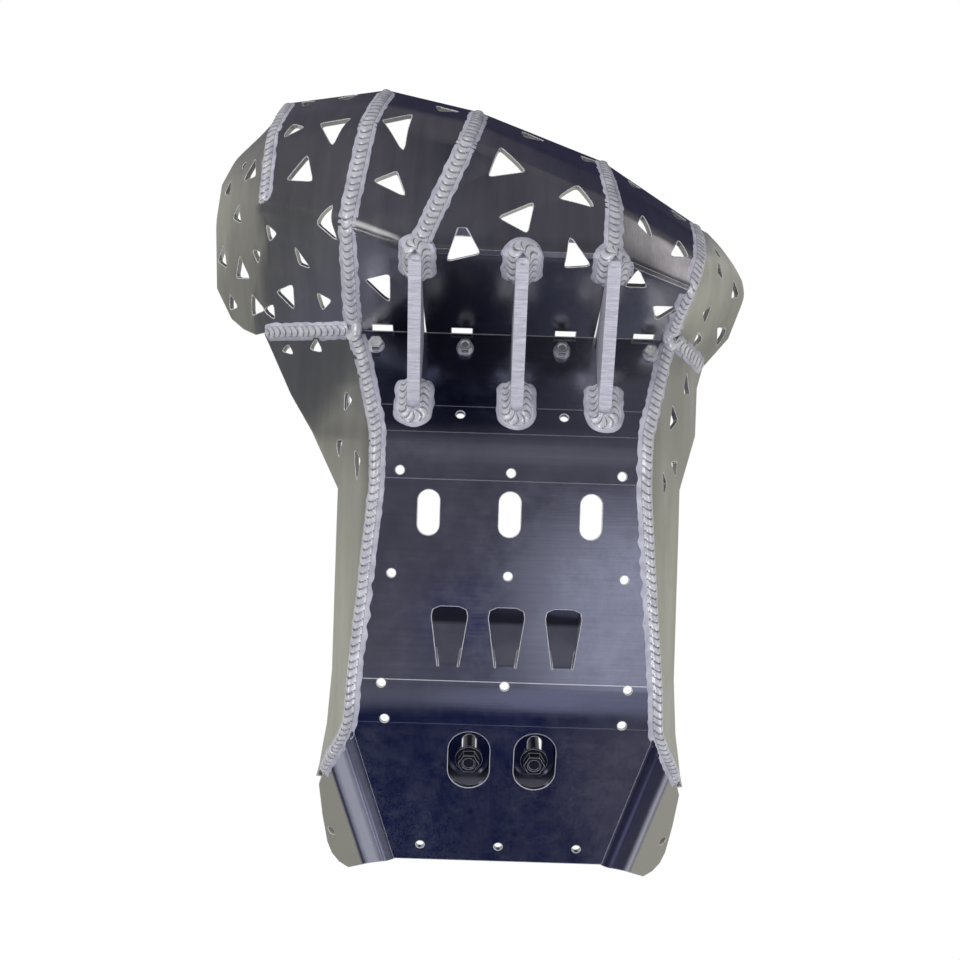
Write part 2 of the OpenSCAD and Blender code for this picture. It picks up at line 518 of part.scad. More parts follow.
tongue_tip_w = 26;
tongue_y = 58;
tongue_gap = 0.4;
module tongue_shape(grow) {
    polygon([[-tongue_w / 2 - grow, 0], [-tongue_tip_w / 2 - grow, tongue_len - 7],
        [-tongue_tip_w / 2 + 1 - grow, tongue_len - 2], [-tongue_tip_w / 2 + 6, tongue_len + grow],
        [tongue_tip_w / 2 - 6, tongue_len + grow], [tongue_tip_w / 2 - 1 + grow, tongue_len - 2],
        [tongue_tip_w / 2 + grow, tongue_len - 7], [tongue_w / 2 + grow, 0]]);
}
tongue_r = 7;
tongue_bend = 0.72 * tongue_len;
tongue_lap = 1.5;
module tongue() {
    // a strip bent up, then level again to hook over the frame tube; above the sheet it laps the window's rim
    a_n = 4;
    rise = tongue_r * (1 - cos(tongue_angle)) +
        (tongue_bend - tongue_r * sin(tongue_angle)) * tan(tongue_angle);
    outer = concat([[-2, 0]], [for (i = [0:a_n]) let (a = tongue_angle * i / a_n)
        [tongue_r * sin(a), tongue_r * (1 - cos(a))]],
        [[tongue_bend, rise], [tongue_len + tongue_hook, rise]]);
    inner = concat([[-2, sheet_t]], [for (i = [0:a_n]) let (a = tongue_angle * i / a_n)
        [(tongue_r - sheet_t) * sin(a), tongue_r - (tongue_r - sheet_t) * cos(a)]],
        [[tongue_bend - sheet_t * tan(tongue_angle / 2), rise + sheet_t],
         [tongue_len + tongue_hook, rise + sheet_t]]);
    intersection() {
        translate([-20, 0, 0]) rotate([90, 0, 90]) linear_extrude(40)
            polygon(concat(outer, [for (i = [len(inner) - 1:-1:0]) inner[i]]));
        union() {
            translate([0, 0, -1]) linear_extrude(60) {
                tongue_shape(-tongue_gap);
                translate([-tongue_w / 2 + tongue_gap, -4]) square([tongue_w - 2 * tongue_gap, 5]);
            }
            translate([0, 0, sheet_t + 2 * fit]) linear_extrude(60) {
                tongue_shape(tongue_lap);
                translate([-tongue_tip_w / 2, tongue_len - 8]) square([tongue_tip_w, tongue_hook + 8]);
            }
        }
    }
}
module slot2d(w, l) {
    for (s = [-1, 1]) translate([0, s * (l - w) / 2]) circle(d = w);
    square([w, l - w], center = true);
}
module on_tail(x, y) translate([x, y, tail_z + (y - tail_y) * tan(tail_angle)])
    rotate([tail_angle, 0, 0]) children();
module on_slope(x, y) translate([x, y, slope_z + (slope_y - y) * tan(front_angle)])
    rotate([-front_angle, 0, 0]) children();
module hole(d) cylinder(d = d, h = 40, center = true);
slot_y = -56;
hole_y_mid = -10;
strap_y = corner_y + 13;
oval_y = tail_y + 29;
module bottom_plate() color(aluminium) {
    difference() {
        union() {
            intersection() {
                plate_strip();
                plate_outline();
            }
            for (s = [-1, 1]) wing(s);
        }
        // screw holes of the belly, in rows
        for (s = [-1, 1]) {
            translate([s * (hole_x - 4), belly_y0 - 8, 0]) hole(hole_d);
            translate([s * hole_x, hole_y_mid, 0]) hole(hole_d);
            translate([s * (hole_x + 5), belly_y1 + 3, 0]) hole(hole_d);
            translate([s * (hole_x + 2), tail_y - 3, 0]) hole(hole_d);
            on_slope(s * 39.5, slope_y - 14) hole(hole_d);
        }
        for (y = [belly_y0 - 8, hole_y_mid, belly_y1 + 3]) translate([0, y, 0]) hole(hole_d);
        for (x = [-61, 0, 61]) on_tail(x, tail_end_y - 13) hole(hole_d);
        for (k = [-1:1]) translate([k * slot_pitch, slot_y, -10]) linear_extrude(30) slot2d(slot_w, slot_len);
        for (k = [-1:1]) translate([k * tongue_pitch, tongue_y, -10]) rotate([0, 0, 180])
            linear_extrude(30) tongue_shape(tongue_gap);
        for (s = [-1, 1]) on_tail(s * rear_bolt_pitch / 2, oval_y) translate([0, 0, -10])
            linear_extrude(30) slot2d(oval_w, oval_len);
        for (s = [-1, 1]) for (k = [-1, 1])
            on_slope(s * strap_x + k * strap_bolt_pitch / 2, strap_y) hole(strap_bolt_d + 0.6);
    }
    for (k = [-1:1]) translate([k * tongue_pitch, tongue_y + eps, 0]) rotate([0, 0, 180]) tongue();
}

// Gusset fins across the corner between the guard and the front slope
w1_dir = unit(low_fold - [0, corner_y, corner_z]);
w1_out = [0, -w1_dir[2], w1_dir[1]];
fin_rear_y = slope_y - 17;
function slope_pt(y, d) = [y, slope_z + (slope_y - y) * tan(front_angle)] - d * [slope_up[1], slope_up[2]];
fin_tip = [low_fold[1] + 3.5, low_fold[2] + 1.4];
module fin(x, gap = fit) color(aluminium) {
    root = [corner_y, corner_z] + gap * [w1_out[1], w1_out[2]] - fit * [slope_up[1], slope_up[2]];
    tip = fin_tip + gap * [w1_out[1], w1_out[2]];
    down = [w1_dir[1], w1_dir[2]];
    back = -[slope_fwd[1], slope_fwd[2]];
    translate([x - fin_t / 2, 0, 0]) rotate([90, 0, 90]) linear_extrude(fin_t) polygon([
        tip, root + 12 * down, root + 12 * back, slope_pt(fin_rear_y, fit),
        slope_pt(fin_rear_y, fit + fin_proud), tip + [0, -4.2]]);
}
module fin_left() fin(fin_left_x);
module fin_center() fin(fin_mid_x);
// the sheet beside the right fin leans toward it
module fin_right() fin(fin_right_x, fit + 0.4);

// Weld beads: a row of overlapping ripples. A station is [point, left, right, up, scale].
lift = 0.3;
dome_n = 4;
function ring_pts(s, w, h, along) = let (p = s[0] + lift * s[3]) concat(
    [for (k = [0:dome_n]) let (a = 180 * k / dome_n, side = cos(a) > 0 ? s[2] : s[1])
        p + abs(cos(a)) * w * side + sin(a) * (h * s[3] + along)],
    [p]);
// Two rings per ripple: the high rim of one, then the low foot before the next
module bead(st, w, h) {
    n = len(st);
    k = dome_n + 2;
    rings = [for (i = [0:n - 1]) let (
        high = i % 2 == 0, end = i == 0 || i == n - 1,
        run = unit(st[min(i + 1, n - 1)][0] - st[max(i - 1, 0)][0]))
        ring_pts(st[i], w * (end ? 0.55 : high ? 1 : 0.86), h * (end ? 0.35 : high ? 1 : 0.62),
            (end ? 0 : 0.2 * w) * run)];
    pts = [for (r = rings) each r];
    faces = concat(
        [for (i = [0:n - 2]) for (j = [0:k - 1]) let (a = i * k + j, b = i * k + (j + 1) % k)
            each [[a, b, b + k], [a, b + k, a + k]]],
        [for (j = [1:k - 2]) [0, j + 1, j]],
        [for (j = [1:k - 2]) (n - 1) * k * [1, 1, 1] + [0, j, j + 1]]);
    polyhedron(pts, faces);
}
function lengths(p, i = 0, s = 0) = i == len(p) - 1 ? [s]
    : concat([s], lengths(p, i + 1, s + norm(p[i + 1] - p[i])));
function seg_at(l, s, i = 0) = i >= len(l) - 2 || l[i + 1] >= s ? i : seg_at(l, s, i + 1);
function along(p, l, s) = let (i = seg_at(l, s)) mix(p[i], p[i + 1], (s - l[i]) / (l[i + 1] - l[i]));
function place(l, from, to) = let (n = max(2, round((to - from) / ripple)), d = (to - from) / n)
    concat([for (k = [0:n - 1]) each [from + k * d, from + (k + 0.78) * d]], [to]);
// Stations along a seam p, with the neighbouring columns a and b and the inward offsets v
function seam(p, a, b, v, from, back, more) = let (l = lengths(p), total = l[len(l) - 1])
    [for (s = place(l, from, total - back)) let (q = along(p, l, s), up = -unit(along(v, l, s)))
        [q + more * up, unit(along(a, l, s) - q), unit(along(b, l, s) - q), up]];
module seam_bead(p, a, b, v, from, back, more = 0)
    color(bead_color) bead(seam(p, a, b, v, from, back, more), bead_w / 2, bead_h);
function from_row(c, r) = [for (i = [r:rows - 1]) c[i]];
module guard_bead(i, r, from, back, more = 0) seam_bead(from_row(guard[i], r), from_row(guard[i - 1], r),
    from_row(guard[i + 1], r), from_row(guard_in[i], r), from, back, more);
module weld_guard_dart() guard_bead(G_DART, LOW_FOLD_ROW, 1, 1.5);
module weld_guard_seam_1() guard_bead(G_SEAM_1, 0, 6, 1.5);
module weld_guard_seam_2() guard_bead(G_SEAM_2, LOW_FOLD_ROW + 3, 8, 1.5);
module weld_guard_seam_3() guard_bead(G_SEAM_3, LOW_FOLD_ROW + 3, 8, 1.5);
module weld_guard_seam_4() guard_bead(G_SEAM_4, 0, 6, 1.5, 0.42);
module weld_guard_to_left_flange() seam_bead(left_sheet[0],
    left_sheet[1], left_up, left_in, 8, 1, 0.1);
module weld_guard_to_right_flange() seam_bead(right_sheet[0],
    [for (i = [7:10]) guard[i][1]], right_sheet[1], [for (i = [7:10]) guard_in[i][0]], 8, 1, 0.1);
module flange_bead(m, side) {
    p = [for (s = m) s[0]];
    last = len(p) - 1;
    up = [for (i = [0:last]) m[i][1]];
    inner = [for (i = [0:last]) let (w = i - (last - wing_stations), f = wing_front[max(w, 0)])
        w <= 0 ? p[i] - [side * 9, 0, 0] : wing_pt(side, f[0] + 6, f[1] - 6)];
    v = [for (i = [0:last]) miter(base_up(m, side, i),
        unit(cross(m[min(i + 1, last)][0] - m[max(i - 1, 0)][0], m[i][3] - m[i][0])) * -side, sheet_t)];
    if (side < 0) seam_bead(p, inner, up, v, 7, 1.5, 0.12);
    else seam_bead(p, up, inner, v, 7, 1.5, 0.12);
}
module weld_left_flange() flange_bead(left_sheet, -1);
module weld_right_flange() flange_bead(right_sheet, 1);

// Fillet weld that runs up one side of a fin, round its end and down the other side
// The lists first and last give the way out along the sheet on each side, at the fin's end and at its far end
leg_len = 27;
function u_path(c, ahead, out, legdir, legout, first, last) = let (
    r = fin_t / 2 + 0.1, side = unit(cross(ahead, out)), n = round(leg_len / ripple * 2), m = 6)
    concat(
        [for (k = [n:-1:1]) let (d = unit(mix(first[0], first[1], k / n)))
            [c + r * d + k * leg_len / n * legdir, d, legout, unit(legout + d)]],
        [for (k = [0:m]) let (a = 180 * k / m, d = -cos(a) * side + sin(a) * ahead)
            [c + r * d, d, k == 0 || k == m ? legout : unit(fin_leg * 0.5 * out - r * d), unit(out + 0.4 * d)]],
        [for (k = [1:n]) let (d = unit(mix(last[0], last[1], k / n)))
            [c + r * d + k * leg_len / n * legdir, d, legout, unit(legout + d)]]);
function out_dir(i, j, tilt = 0) = [for (r = [2, 0]) unit(guard_ctrl[j][r] - guard_ctrl[i][r]) + tilt * w1_out];
module fin_weld(x, first, last) color(bead_color) {
    w2_fwd = unit(guard_ctrl[5][4] - guard_ctrl[5][2] - [guard_ctrl[5][4][0] - guard_ctrl[5][2][0], 0, 0]);
    w2_out = [0, w2_fwd[2], -w2_fwd[1]] * -1;
    rear_c2 = slope_pt(fin_rear_y + 1.4, 0);
    flat = [[1, 0, 0], [1, 0, 0]];
    fillet(u_path([x, rear_c2[0], rear_c2[1]], -slope_fwd, -slope_up, slope_fwd, -slope_up, flat, -flat));
    fillet(u_path([x, low_fold[1] - 0.4, low_fold[2] - 0.6], w2_fwd, w2_out, -w1_dir, w1_out, first, last));
}
module fillet(st) bead(st, fin_leg, bead_h);
module weld_fin_left() fin_weld(fin_left_x, out_dir(G_SEAM_2, G_SEAM_1), out_dir(G_SEAM_2, G_SEAM_3));
module weld_fin_center() fin_weld(fin_mid_x, out_dir(G_SEAM_3, G_SEAM_2), out_dir(G_SEAM_2, G_SEAM_3));
module weld_fin_right()
    fin_weld(fin_right_x, out_dir(G_SEAM_3, G_SEAM_2), out_dir(G_SEAM_3, G_SEAM_4, 0.04));

// Fasteners and brackets
module hex(af, h) cylinder(d = af / cos(30), h = h, $fn = 6);
// Flanged hexagon bolt with its seat at z = 0 and its head below
module flange_bolt(d, len, af, flange_d, head_h, neck = 0) {
    // the neck is a relief under the head, a little thinner than the shank
    cylinder(d = d - 0.4, h = neck + 1);
    translate([0, 0, neck]) cylinder(d = d, h = len - neck);
    translate([0, 0, -0.2 * d]) cylinder(d = flange_d, h = 0.2 * d);
    difference() {
        translate([0, 0, -head_h]) hex(af, head_h - 0.1 * d);
        translate([0, 0, -head_h - eps]) cylinder(d1 = af * 0.72, d2 = af * 0.6, h = 0.12 * d);
    }
}
strap_t = 4;
strap_w = 24;
strap_stack = sheet_t + fit + strap_t;
nut_h = strap_bolt_d;
module at_strap_bolts() for (s = [-1, 1]) for (k = [-1, 1])
    on_slope(s * strap_x + k * strap_bolt_pitch / 2, strap_y) children();
module front_bolts() color(zinc) at_strap_bolts() translate([0, 0, -0.1])
    flange_bolt(strap_bolt_d, strap_stack + nut_h + 3, 10, 13.5, 6.5);
module front_nuts() color(zinc) at_strap_bolts() translate([0, 0, strap_stack + 0.1]) difference() {
    union() {
        cylinder(d = 2.1 * strap_bolt_d, h = 1.2);
        hex(10, nut_h);
    }
    translate([0, 0, -1]) cylinder(d = strap_bolt_d + 0.2, h = nut_h + 2);
}
// Saddle strap that holds a frame tube down on the inner face of the slope
module strap(x) color(zinc) on_slope(x, strap_y) translate([0, -strap_w / 2, sheet_t + fit]) difference() {
    r = frame_tube_d / 2 + 0.2;
    ear = strap_bolt_pitch / 2 + strap_bolt_d * 1.4;
    rise = frame_tube_d / 2;
    rotate([90, 0, 0]) translate([0, 0, -strap_w]) linear_extrude(strap_w) difference() {
        union() {
            translate([-ear, 0]) square([2 * ear, strap_t]);
            translate([-r - strap_t, 0]) square([2 * (r + strap_t), rise]);
            translate([0, rise]) circle(r = r + strap_t, $fn = 64);
        }
        translate([-r, -10]) square([2 * r, rise + 10]);
        translate([0, rise]) circle(r = r, $fn = 64);
    }
    for (k = [-1, 1]) translate([k * strap_bolt_pitch / 2, strap_w / 2, -1])
        cylinder(d = strap_bolt_d + 0.6, h = strap_t + 2);
}
module front_strap_left() strap(-strap_x);
module front_strap_right() strap(strap_x);

// Rear bracket: a raised strip over the oval holes, with a foot on each side and a slot for each bolt
bracket_rise = 6;
bracket_web = rear_bolt_pitch / 2 + oval_w / 2 + 4;
bracket_foot = 12;
bracket_edge = bracket_web + bracket_rise + bracket_foot;
bracket_len = oval_len + 10;
bracket_t = sheet_t;
rear_bolt_shift = 4.5;
module on_bracket() on_tail(0, oval_y) translate([0, 0, sheet_t + fit]) children();
module rear_bracket() color(aluminium) on_bracket() difference() {
    a = bracket_web;
    b = a + bracket_rise;
    e = bracket_edge;
    t = bracket_t;
    u = t * tan(22.5);
    slot_end = rear_bolt_shift + rear_bolt_d / 2 + 2 * fit;
    translate([0, bracket_len / 2 + 1, 0]) rotate([90, 0, 0]) linear_extrude(bracket_len) polygon([
        [-e, 0], [-b, 0], [-a, bracket_rise], [a, bracket_rise], [b, 0], [e, 0],
        [e, t], [b + u, t], [a + u, bracket_rise + t], [-a - u, bracket_rise + t], [-b - u, t], [-e, t]]);
    for (s = [-1, 1]) translate([s * rear_bolt_pitch / 2, slot_end - bracket_slot_len / 2, -1])
        linear_extrude(bracket_rise + t + 2) slot2d(rear_bolt_d + 2 * fit, bracket_slot_len);
}
module weld_rear_bracket() color(bead_color) on_bracket() for (s = [-1, 1]) for (k = [-1, 1]) {
    n = 3;
    st = [for (i = [0:2 * n]) [[s * (bracket_edge + 0.05), 1 + k * 17 + (i / n - 1) * 10, 0.05 - fit],
        s > 0 ? [0, 0, 1] : [-1, 0, 0], s > 0 ? [1, 0, 0] : [0, 0, 1], unit([s, 0, 1])]];
    bead(st, bracket_t, bead_h * 0.7);
}
module rear_bolts() color(zinc) for (s = [-1, 1]) on_bracket()
    translate([s * rear_bolt_pitch / 2, rear_bolt_shift, bracket_rise - 0.1])
    flange_bolt(rear_bolt_d, 30, 14, 2.1 * rear_bolt_d, rear_bolt_d * 0.85, bracket_t + 1.5);

bottom_plate();
left_flange();
right_flange();
guard_left();
guard_mid_left();
guard_center();
guard_mid_right();
guard_right();
fin_left();
fin_center();
fin_right();
weld_guard_dart();
weld_guard_seam_1();
weld_guard_seam_2();
weld_guard_seam_3();
weld_guard_seam_4();
weld_guard_to_left_flange();
weld_guard_to_right_flange();
weld_left_flange();
weld_right_flange();
weld_fin_left();
weld_fin_center();
weld_fin_right();
front_bolts();
front_nuts();
front_strap_left();
front_strap_right();
rear_bracket();
weld_rear_bracket();
rear_bolts();
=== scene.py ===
"""Welded aluminium skid plate with a pipe guard, seen from straight below its belly."""
import json
import math

import bmesh
import bpy
from mathutils import Matrix, Vector, noise
from mathutils.bvhtree import BVHTree


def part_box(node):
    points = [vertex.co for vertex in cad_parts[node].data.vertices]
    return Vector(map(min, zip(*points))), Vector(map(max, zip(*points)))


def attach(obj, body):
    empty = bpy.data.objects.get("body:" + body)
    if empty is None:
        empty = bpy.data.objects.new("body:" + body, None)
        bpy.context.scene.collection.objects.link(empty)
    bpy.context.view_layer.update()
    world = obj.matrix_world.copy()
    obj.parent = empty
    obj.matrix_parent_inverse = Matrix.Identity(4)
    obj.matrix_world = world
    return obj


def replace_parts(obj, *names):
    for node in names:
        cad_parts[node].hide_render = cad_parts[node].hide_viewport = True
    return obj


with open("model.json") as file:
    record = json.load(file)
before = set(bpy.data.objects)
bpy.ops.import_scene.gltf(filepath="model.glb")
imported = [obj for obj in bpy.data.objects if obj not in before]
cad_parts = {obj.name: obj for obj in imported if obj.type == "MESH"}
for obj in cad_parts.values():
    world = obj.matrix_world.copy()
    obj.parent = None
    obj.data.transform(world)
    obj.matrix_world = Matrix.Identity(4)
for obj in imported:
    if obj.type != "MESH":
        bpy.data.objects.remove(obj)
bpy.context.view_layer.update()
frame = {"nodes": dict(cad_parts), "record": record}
nodes = frame["nodes"]
scene = bpy.context.scene
MM = 0.001


def mm(x, y, z):
    return Vector((x, y, z)) * MM


# Camera: straight below the belly, turned a little, as the photograph was taken
CAMERA_AT = mm(-23.05, -81.27, -800)
CAMERA_TURN = math.radians(1.8)
LENS_MM = 40.27


def make_camera():
    data = bpy.data.cameras.new("camera")
    data.sensor_width = 36
    data.lens = LENS_MM
    data.clip_start = 0.01
    camera = bpy.data.objects.new("camera", data)
    scene.collection.objects.link(camera)
    c, s = math.cos(CAMERA_TURN), math.sin(CAMERA_TURN)
    turn = Matrix(((c, -s, 0, 0), (-s, -c, 0, 0), (0, 0, -1, 0), (0, 0, 0, 1))).transposed()
    camera.matrix_world = Matrix.Translation(CAMERA_AT) @ turn
    scene.camera = camera


make_camera()


# Materials
class Nodes:
    """A small helper that adds shader nodes and links them."""

    def __init__(self, name):
        self.material = bpy.data.materials.new(name)
        self.material.use_nodes = True
        self.tree = self.material.node_tree
        self.shader = self.tree.nodes["Principled BSDF"]

    def add(self, kind, **inputs):
        node = self.tree.nodes.new(kind)
        for key, value in inputs.items():
            self.put(node, key, value)
        return node

    def put(self, node, key, value):
        """Links or sets an input, named by its label or as i and its number."""
        socket = node.inputs[int(key[1:])] if key[0] == "i" and key[1:].isdigit() else node.inputs[key]
        if isinstance(value, bpy.types.NodeSocket):
            self.tree.links.new(value, socket)
        else:
            socket.default_value = value

    def coords(self, scale=(1, 1, 1)):
        """Object coordinates, stretched by the scale."""
        place = self.add("ShaderNodeTexCoord").outputs["Object"]
        mapping = self.add("ShaderNodeMapping")
        mapping.inputs["Scale"].default_value = scale
        self.tree.links.new(place, mapping.inputs["Vector"])
        return mapping.outputs["Vector"]

    def noise(self, vector, scale, detail=3.0, rough=0.5):
        node = self.add("ShaderNodeTexNoise", Vector=vector, Scale=scale, Detail=detail, Roughness=rough)
        return node.outputs["Fac"]

    def ramp(self, value, low, high, to_low=0.0, to_high=1.0):
        node = self.add("ShaderNodeMapRange", Value=value)
        node.inputs["From Min"].default_value = low
        node.inputs["From Max"].default_value = high
        node.inputs["To Min"].default_value = to_low
        node.inputs["To Max"].default_value = to_high
        return node.outputs["Result"]

    def rise(self, value, low, high, to_low=0.0, to_high=1.0):
        """The same between two places in millimetres."""
        return self.ramp(value, low * MM, high * MM, to_low, to_high)

    def band(self, value, low, high, soft):
        """One between two places in millimetres, falling softly to zero outside."""
        start = self.rise(value, low - soft, low + soft)
        return self.times(start, self.rise(value, high + soft, high - soft))

    def mix(self, factor, a, b):
        node = self.tree.nodes.new("ShaderNodeMix")
        node.data_type = "RGBA"
        for key, value in (("i0", factor), ("i6", a), ("i7", b)):
            self.put(node, key, value)
        return node.outputs[2]

    def math(self, operation, a, b=0.0):
        node = self.add("ShaderNodeMath", i0=a, i1=b)
        node.operation = operation
        return node.outputs[0]

    def plus(self, a, b):
        return self.math("ADD", a, b)

    def times(self, a, b):
        return self.math("MULTIPLY", a, b)

    def most(self, a, b):
        return self.math("MAXIMUM", a, b)

    def dot(self, a, b):
        node = self.add("ShaderNodeVectorMath", i0=a, i1=b)
        node.operation = "DOT_PRODUCT"
        return node.outputs["Value"]

    def place(self):
        """Object coordinates as three numbers."""
        node = self.add("ShaderNodeSeparateXYZ", i0=self.add("ShaderNodeTexCoord").outputs["Object"])
        return node.outputs["X"], node.outputs["Y"], node.outputs["Z"]

    def rims(self, radius):
        """The rounded normal near cut edges, and how near an edge is."""
        edge = self.add("ShaderNodeBevel", Radius=radius)
        edge.samples = 6
        alike = self.dot(edge.outputs["Normal"], self.add("ShaderNodeNewGeometry").outputs["Normal"])
        return edge.outputs["Normal"], self.ramp(alike, 0.985, 0.90)

    def bump(self, height, strength, distance, normal=None):
        node = self.add("ShaderNodeBump", Height=height)
        if normal is not None:
            self.tree.links.new(normal, node.inputs["Normal"])
        node.inputs["Strength"].default_value = strength
        node.inputs["Distance"].default_value = distance
        self.tree.links.new(node.outputs["Normal"], self.shader.inputs["Normal"])

    def set(self, **values):
        for key, value in values.items():
            self.put(self.shader, key.replace("_", " "), value)


def rgb(r, g, b):
    return (r, g, b, 1.0)


# How far the rounded edge and its painted highlight reach from a cut, in metres; then the highlight's tone
SHEET_RIM = 0.0012
SCREW_RIM = 0.0006
RIM_HIGHLIGHT = rgb(0.86, 0.86, 0.90)


def brushed(name, dark, light, rough, grain, mottle=0.5, depth=0.00006, finish=None):
    """Bare rolled sheet: fine lines along one direction, clouds, handling marks, and a painted highlight
    along cut edges.
    """
    n = Nodes(name)
    lines = n.noise(n.coords(grain), 900, 2.0)
    streaks = n.noise(n.coords((grain[0], grain[1] * 3, grain[2])), 90, 4.0)
    clouds = n.noise(n.coords(), 14, 5.0, 0.6)
    stains = n.noise(n.coords(), 55, 6.0, 0.7)
    tone = n.plus(n.times(n.ramp(clouds, 0.35, 0.65), mottle), n.times(n.ramp(streaks, 0.3, 0.7), 1 - mottle))
    colour = n.mix(tone, dark, light)
    haze_and_highlight = 0.0
    if finish:
        # The marks, painted shade and painted highlights among them, belong to the side that faces the
        # ground; the hidden side stays plain
        normal = n.add("ShaderNodeNewGeometry").outputs["Normal"]
        under = n.ramp(n.add("ShaderNodeSeparateXYZ", i0=normal).outputs["Z"], 0.2, -0.2)
        marks_and_painted_light, haze_and_highlight = finish(n, colour)
        colour = n.mix(under, colour, marks_and_painted_light)
        haze_and_highlight = n.times(haze_and_highlight, under)
    # Painted highlight along cut edges: pale tone and less metal near an edge, over the rounded normal
    normal, rim_highlight = n.rims(SHEET_RIM)
    colour = n.mix(rim_highlight, colour, RIM_HIGHLIGHT)
    haze_and_highlight = n.most(haze_and_highlight, n.times(rim_highlight, 0.8))
    # Less metal where there is haze or a painted highlight, so these show pale
    n.set(Metallic=n.math("SUBTRACT", 1.0, haze_and_highlight), Base_Color=colour)
    wear = n.plus(n.times(n.ramp(stains, 0.4, 0.7), 0.5), n.times(lines, 0.5))
    n.set(Roughness=n.ramp(wear, 0.2, 0.8, *rough))
    n.bump(n.plus(lines, n.times(streaks, 0.8)), 0.35, depth, normal)
    return n.material


# Lines scribed across the plate: how far back each is, in millimetres, and how bright
SCRIBED = ((-137, 0.07), (-116.6, 0.07), (-81, 0.10), (69, 0.42), (102.4, 0.05))
# Direction outward along the tail, square to the wings' creases, and the place of a crease in it
WING_WAY = (0.9639, 0.2533, 0.0823)
CREASE = 136.74 * MM


def plate_marks_and_painted_light(n, colour):
    """Marks on the plate: painted shade on the tongues and the slope, a mottled tail, painted reflections and
    a crease line on the wings, scribed lines.
    """
    x, y, z = n.place()
    # Painted shade on the raised front ends of the tongues
    tongues = n.times(n.rise(z, 8.5, 10.5), n.times(n.rise(y, 28.5, 25.5), n.rise(y, 0, 1)))
    colour = n.mix(tongues, colour, rgb(0.13, 0.13, 0.17))
    # Painted shade on the front slope, deeper towards the left
    slope = n.times(n.rise(y, -108, -124), n.rise(x, 85, -20, 0.2, 0.86))
    colour = n.mix(slope, colour, rgb(0.075, 0.085, 0.16))
    grains = n.noise(n.coords((1, 0.6, 1)), 520, 6.0, 0.75)
    patches = n.noise(n.coords(), 60, 5.0, 0.65)
    haze_and_highlight = n.times(n.rise(y, 96, 112), n.ramp(n.times(grains, patches), 0.17, 0.44, 0.0, 0.045))

    # Bands on the wings by the distance outward from the crease: painted reflections in place of a broader
    # bend (dark bands, a bright band, a greenish-grey outer strip), and a thin bright line on the crease
    out = n.plus(n.times(n.math("ABSOLUTE", x), WING_WAY[0]),
                 n.plus(n.times(y, WING_WAY[1]), n.times(z, WING_WAY[2])))
    out = n.math("SUBTRACT", out, CREASE)
    left, right = n.math("LESS_THAN", x, 0.0), n.math("GREATER_THAN", x, 0.0)
    painted_bright_band = n.plus(n.times(left, n.band(out, 13.5, 27, 3)), n.times(right, n.band(out, 26.5, 30, 2)))
    shade = n.plus(n.times(left, n.plus(n.band(out, 29, 32, 1.5), n.band(out, 8.5, 10, 0.8))),
                   n.times(right, n.band(out, 1.5, 24, 1.5)))
    strip = n.plus(n.times(left, n.rise(out, 31, 34)), n.times(right, n.rise(out, 30.5, 33.5)))
    crease = n.band(out, 0.2, 0.5, 0.25)
    colour = n.mix(shade, colour, rgb(0.13, 0.13, 0.22))
    colour = n.mix(painted_bright_band, colour, rgb(0.58, 0.59, 0.70))
    colour = n.mix(strip, colour, rgb(0.40, 0.39, 0.33))
    for mask, strength in ((painted_bright_band, 0.42), (strip, 0.55), (crease, 0.4)):
        haze_and_highlight = n.most(haze_and_highlight, n.times(mask, strength))

    for at, strength in SCRIBED:
        line = n.rise(n.math("ABSOLUTE", n.math("SUBTRACT", y, at * MM)), 0.45, 0.1)
        colour = n.mix(line, colour, rgb(0.9, 0.9, 0.95))
        haze_and_highlight = n.most(haze_and_highlight, n.times(line, strength))
    return colour, haze_and_highlight


def guard_painted_shade(n, colour):
    """Painted shade on the guard's lowest strip, which lies in the shade of the plate's slope, deeper towards
    the left.
    """
    x, y, _ = n.place()
    near = n.times(n.rise(y, -262, -242), n.rise(n.math("ABSOLUTE", x), 115, 95))
    shade = n.times(near, n.rise(x, 0, -80, 0.52, 0.8))
    return n.mix(shade, colour, rgb(0.04, 0.04, 0.06)), 0.0


def frosted(name, dark, light, rough, metallic, cell=900, grooves=0.0):
    """Weld metal: crystalline frosting over a pale ground, with painted shade in the grooves between ripples.
    """
    n = Nodes(name)
    grit = n.noise(n.coords(), cell, 4.0, 0.7)
    patches = n.noise(n.coords(), 120, 3.0)
    tone = n.mix(n.ramp(patches, 0.35, 0.65), dark, light)
    if grooves:
        # Painted shade in the grooves, from the ripple tones stored on the bead
        share = n.add("ShaderNodeAttribute")
        share.attribute_name = "groove"
        tone = n.mix(n.ramp(share.outputs["Fac"], 0.05, 0.75, grooves, 0.0), tone, rgb(0.10, 0.10, 0.14))
    n.set(Metallic=metallic, Base_Color=tone, Roughness=n.ramp(grit, 0.3, 0.7, *rough))
    n.bump(n.plus(grit, n.times(patches, 0.6)), 0.6, 0.00012)
    return n.material


def sawn(name, dark, light):
    """Plate edge cut on a saw: uneven lines across the bar."""
    n = Nodes(name)
    cuts = n.noise(n.coords((0.06, 1, 0.4)), 1500, 2.0)
    wide = n.noise(n.coords((0.1, 1, 0.4)), 420, 3.0)
    fleck = n.noise(n.coords(), 700, 3.0)
    tone = n.plus(n.times(cuts, 0.5), n.plus(n.times(wide, 0.35), n.times(fleck, 0.15)))
    tone = n.ramp(tone, 0.38, 0.62)
    n.set(Metallic=0.45, Base_Color=n.mix(tone, dark, light), Roughness=n.ramp(tone, 0.0, 1.0, 0.5, 0.34))
    n.bump(tone, 0.5, 0.00012)
    return n.material


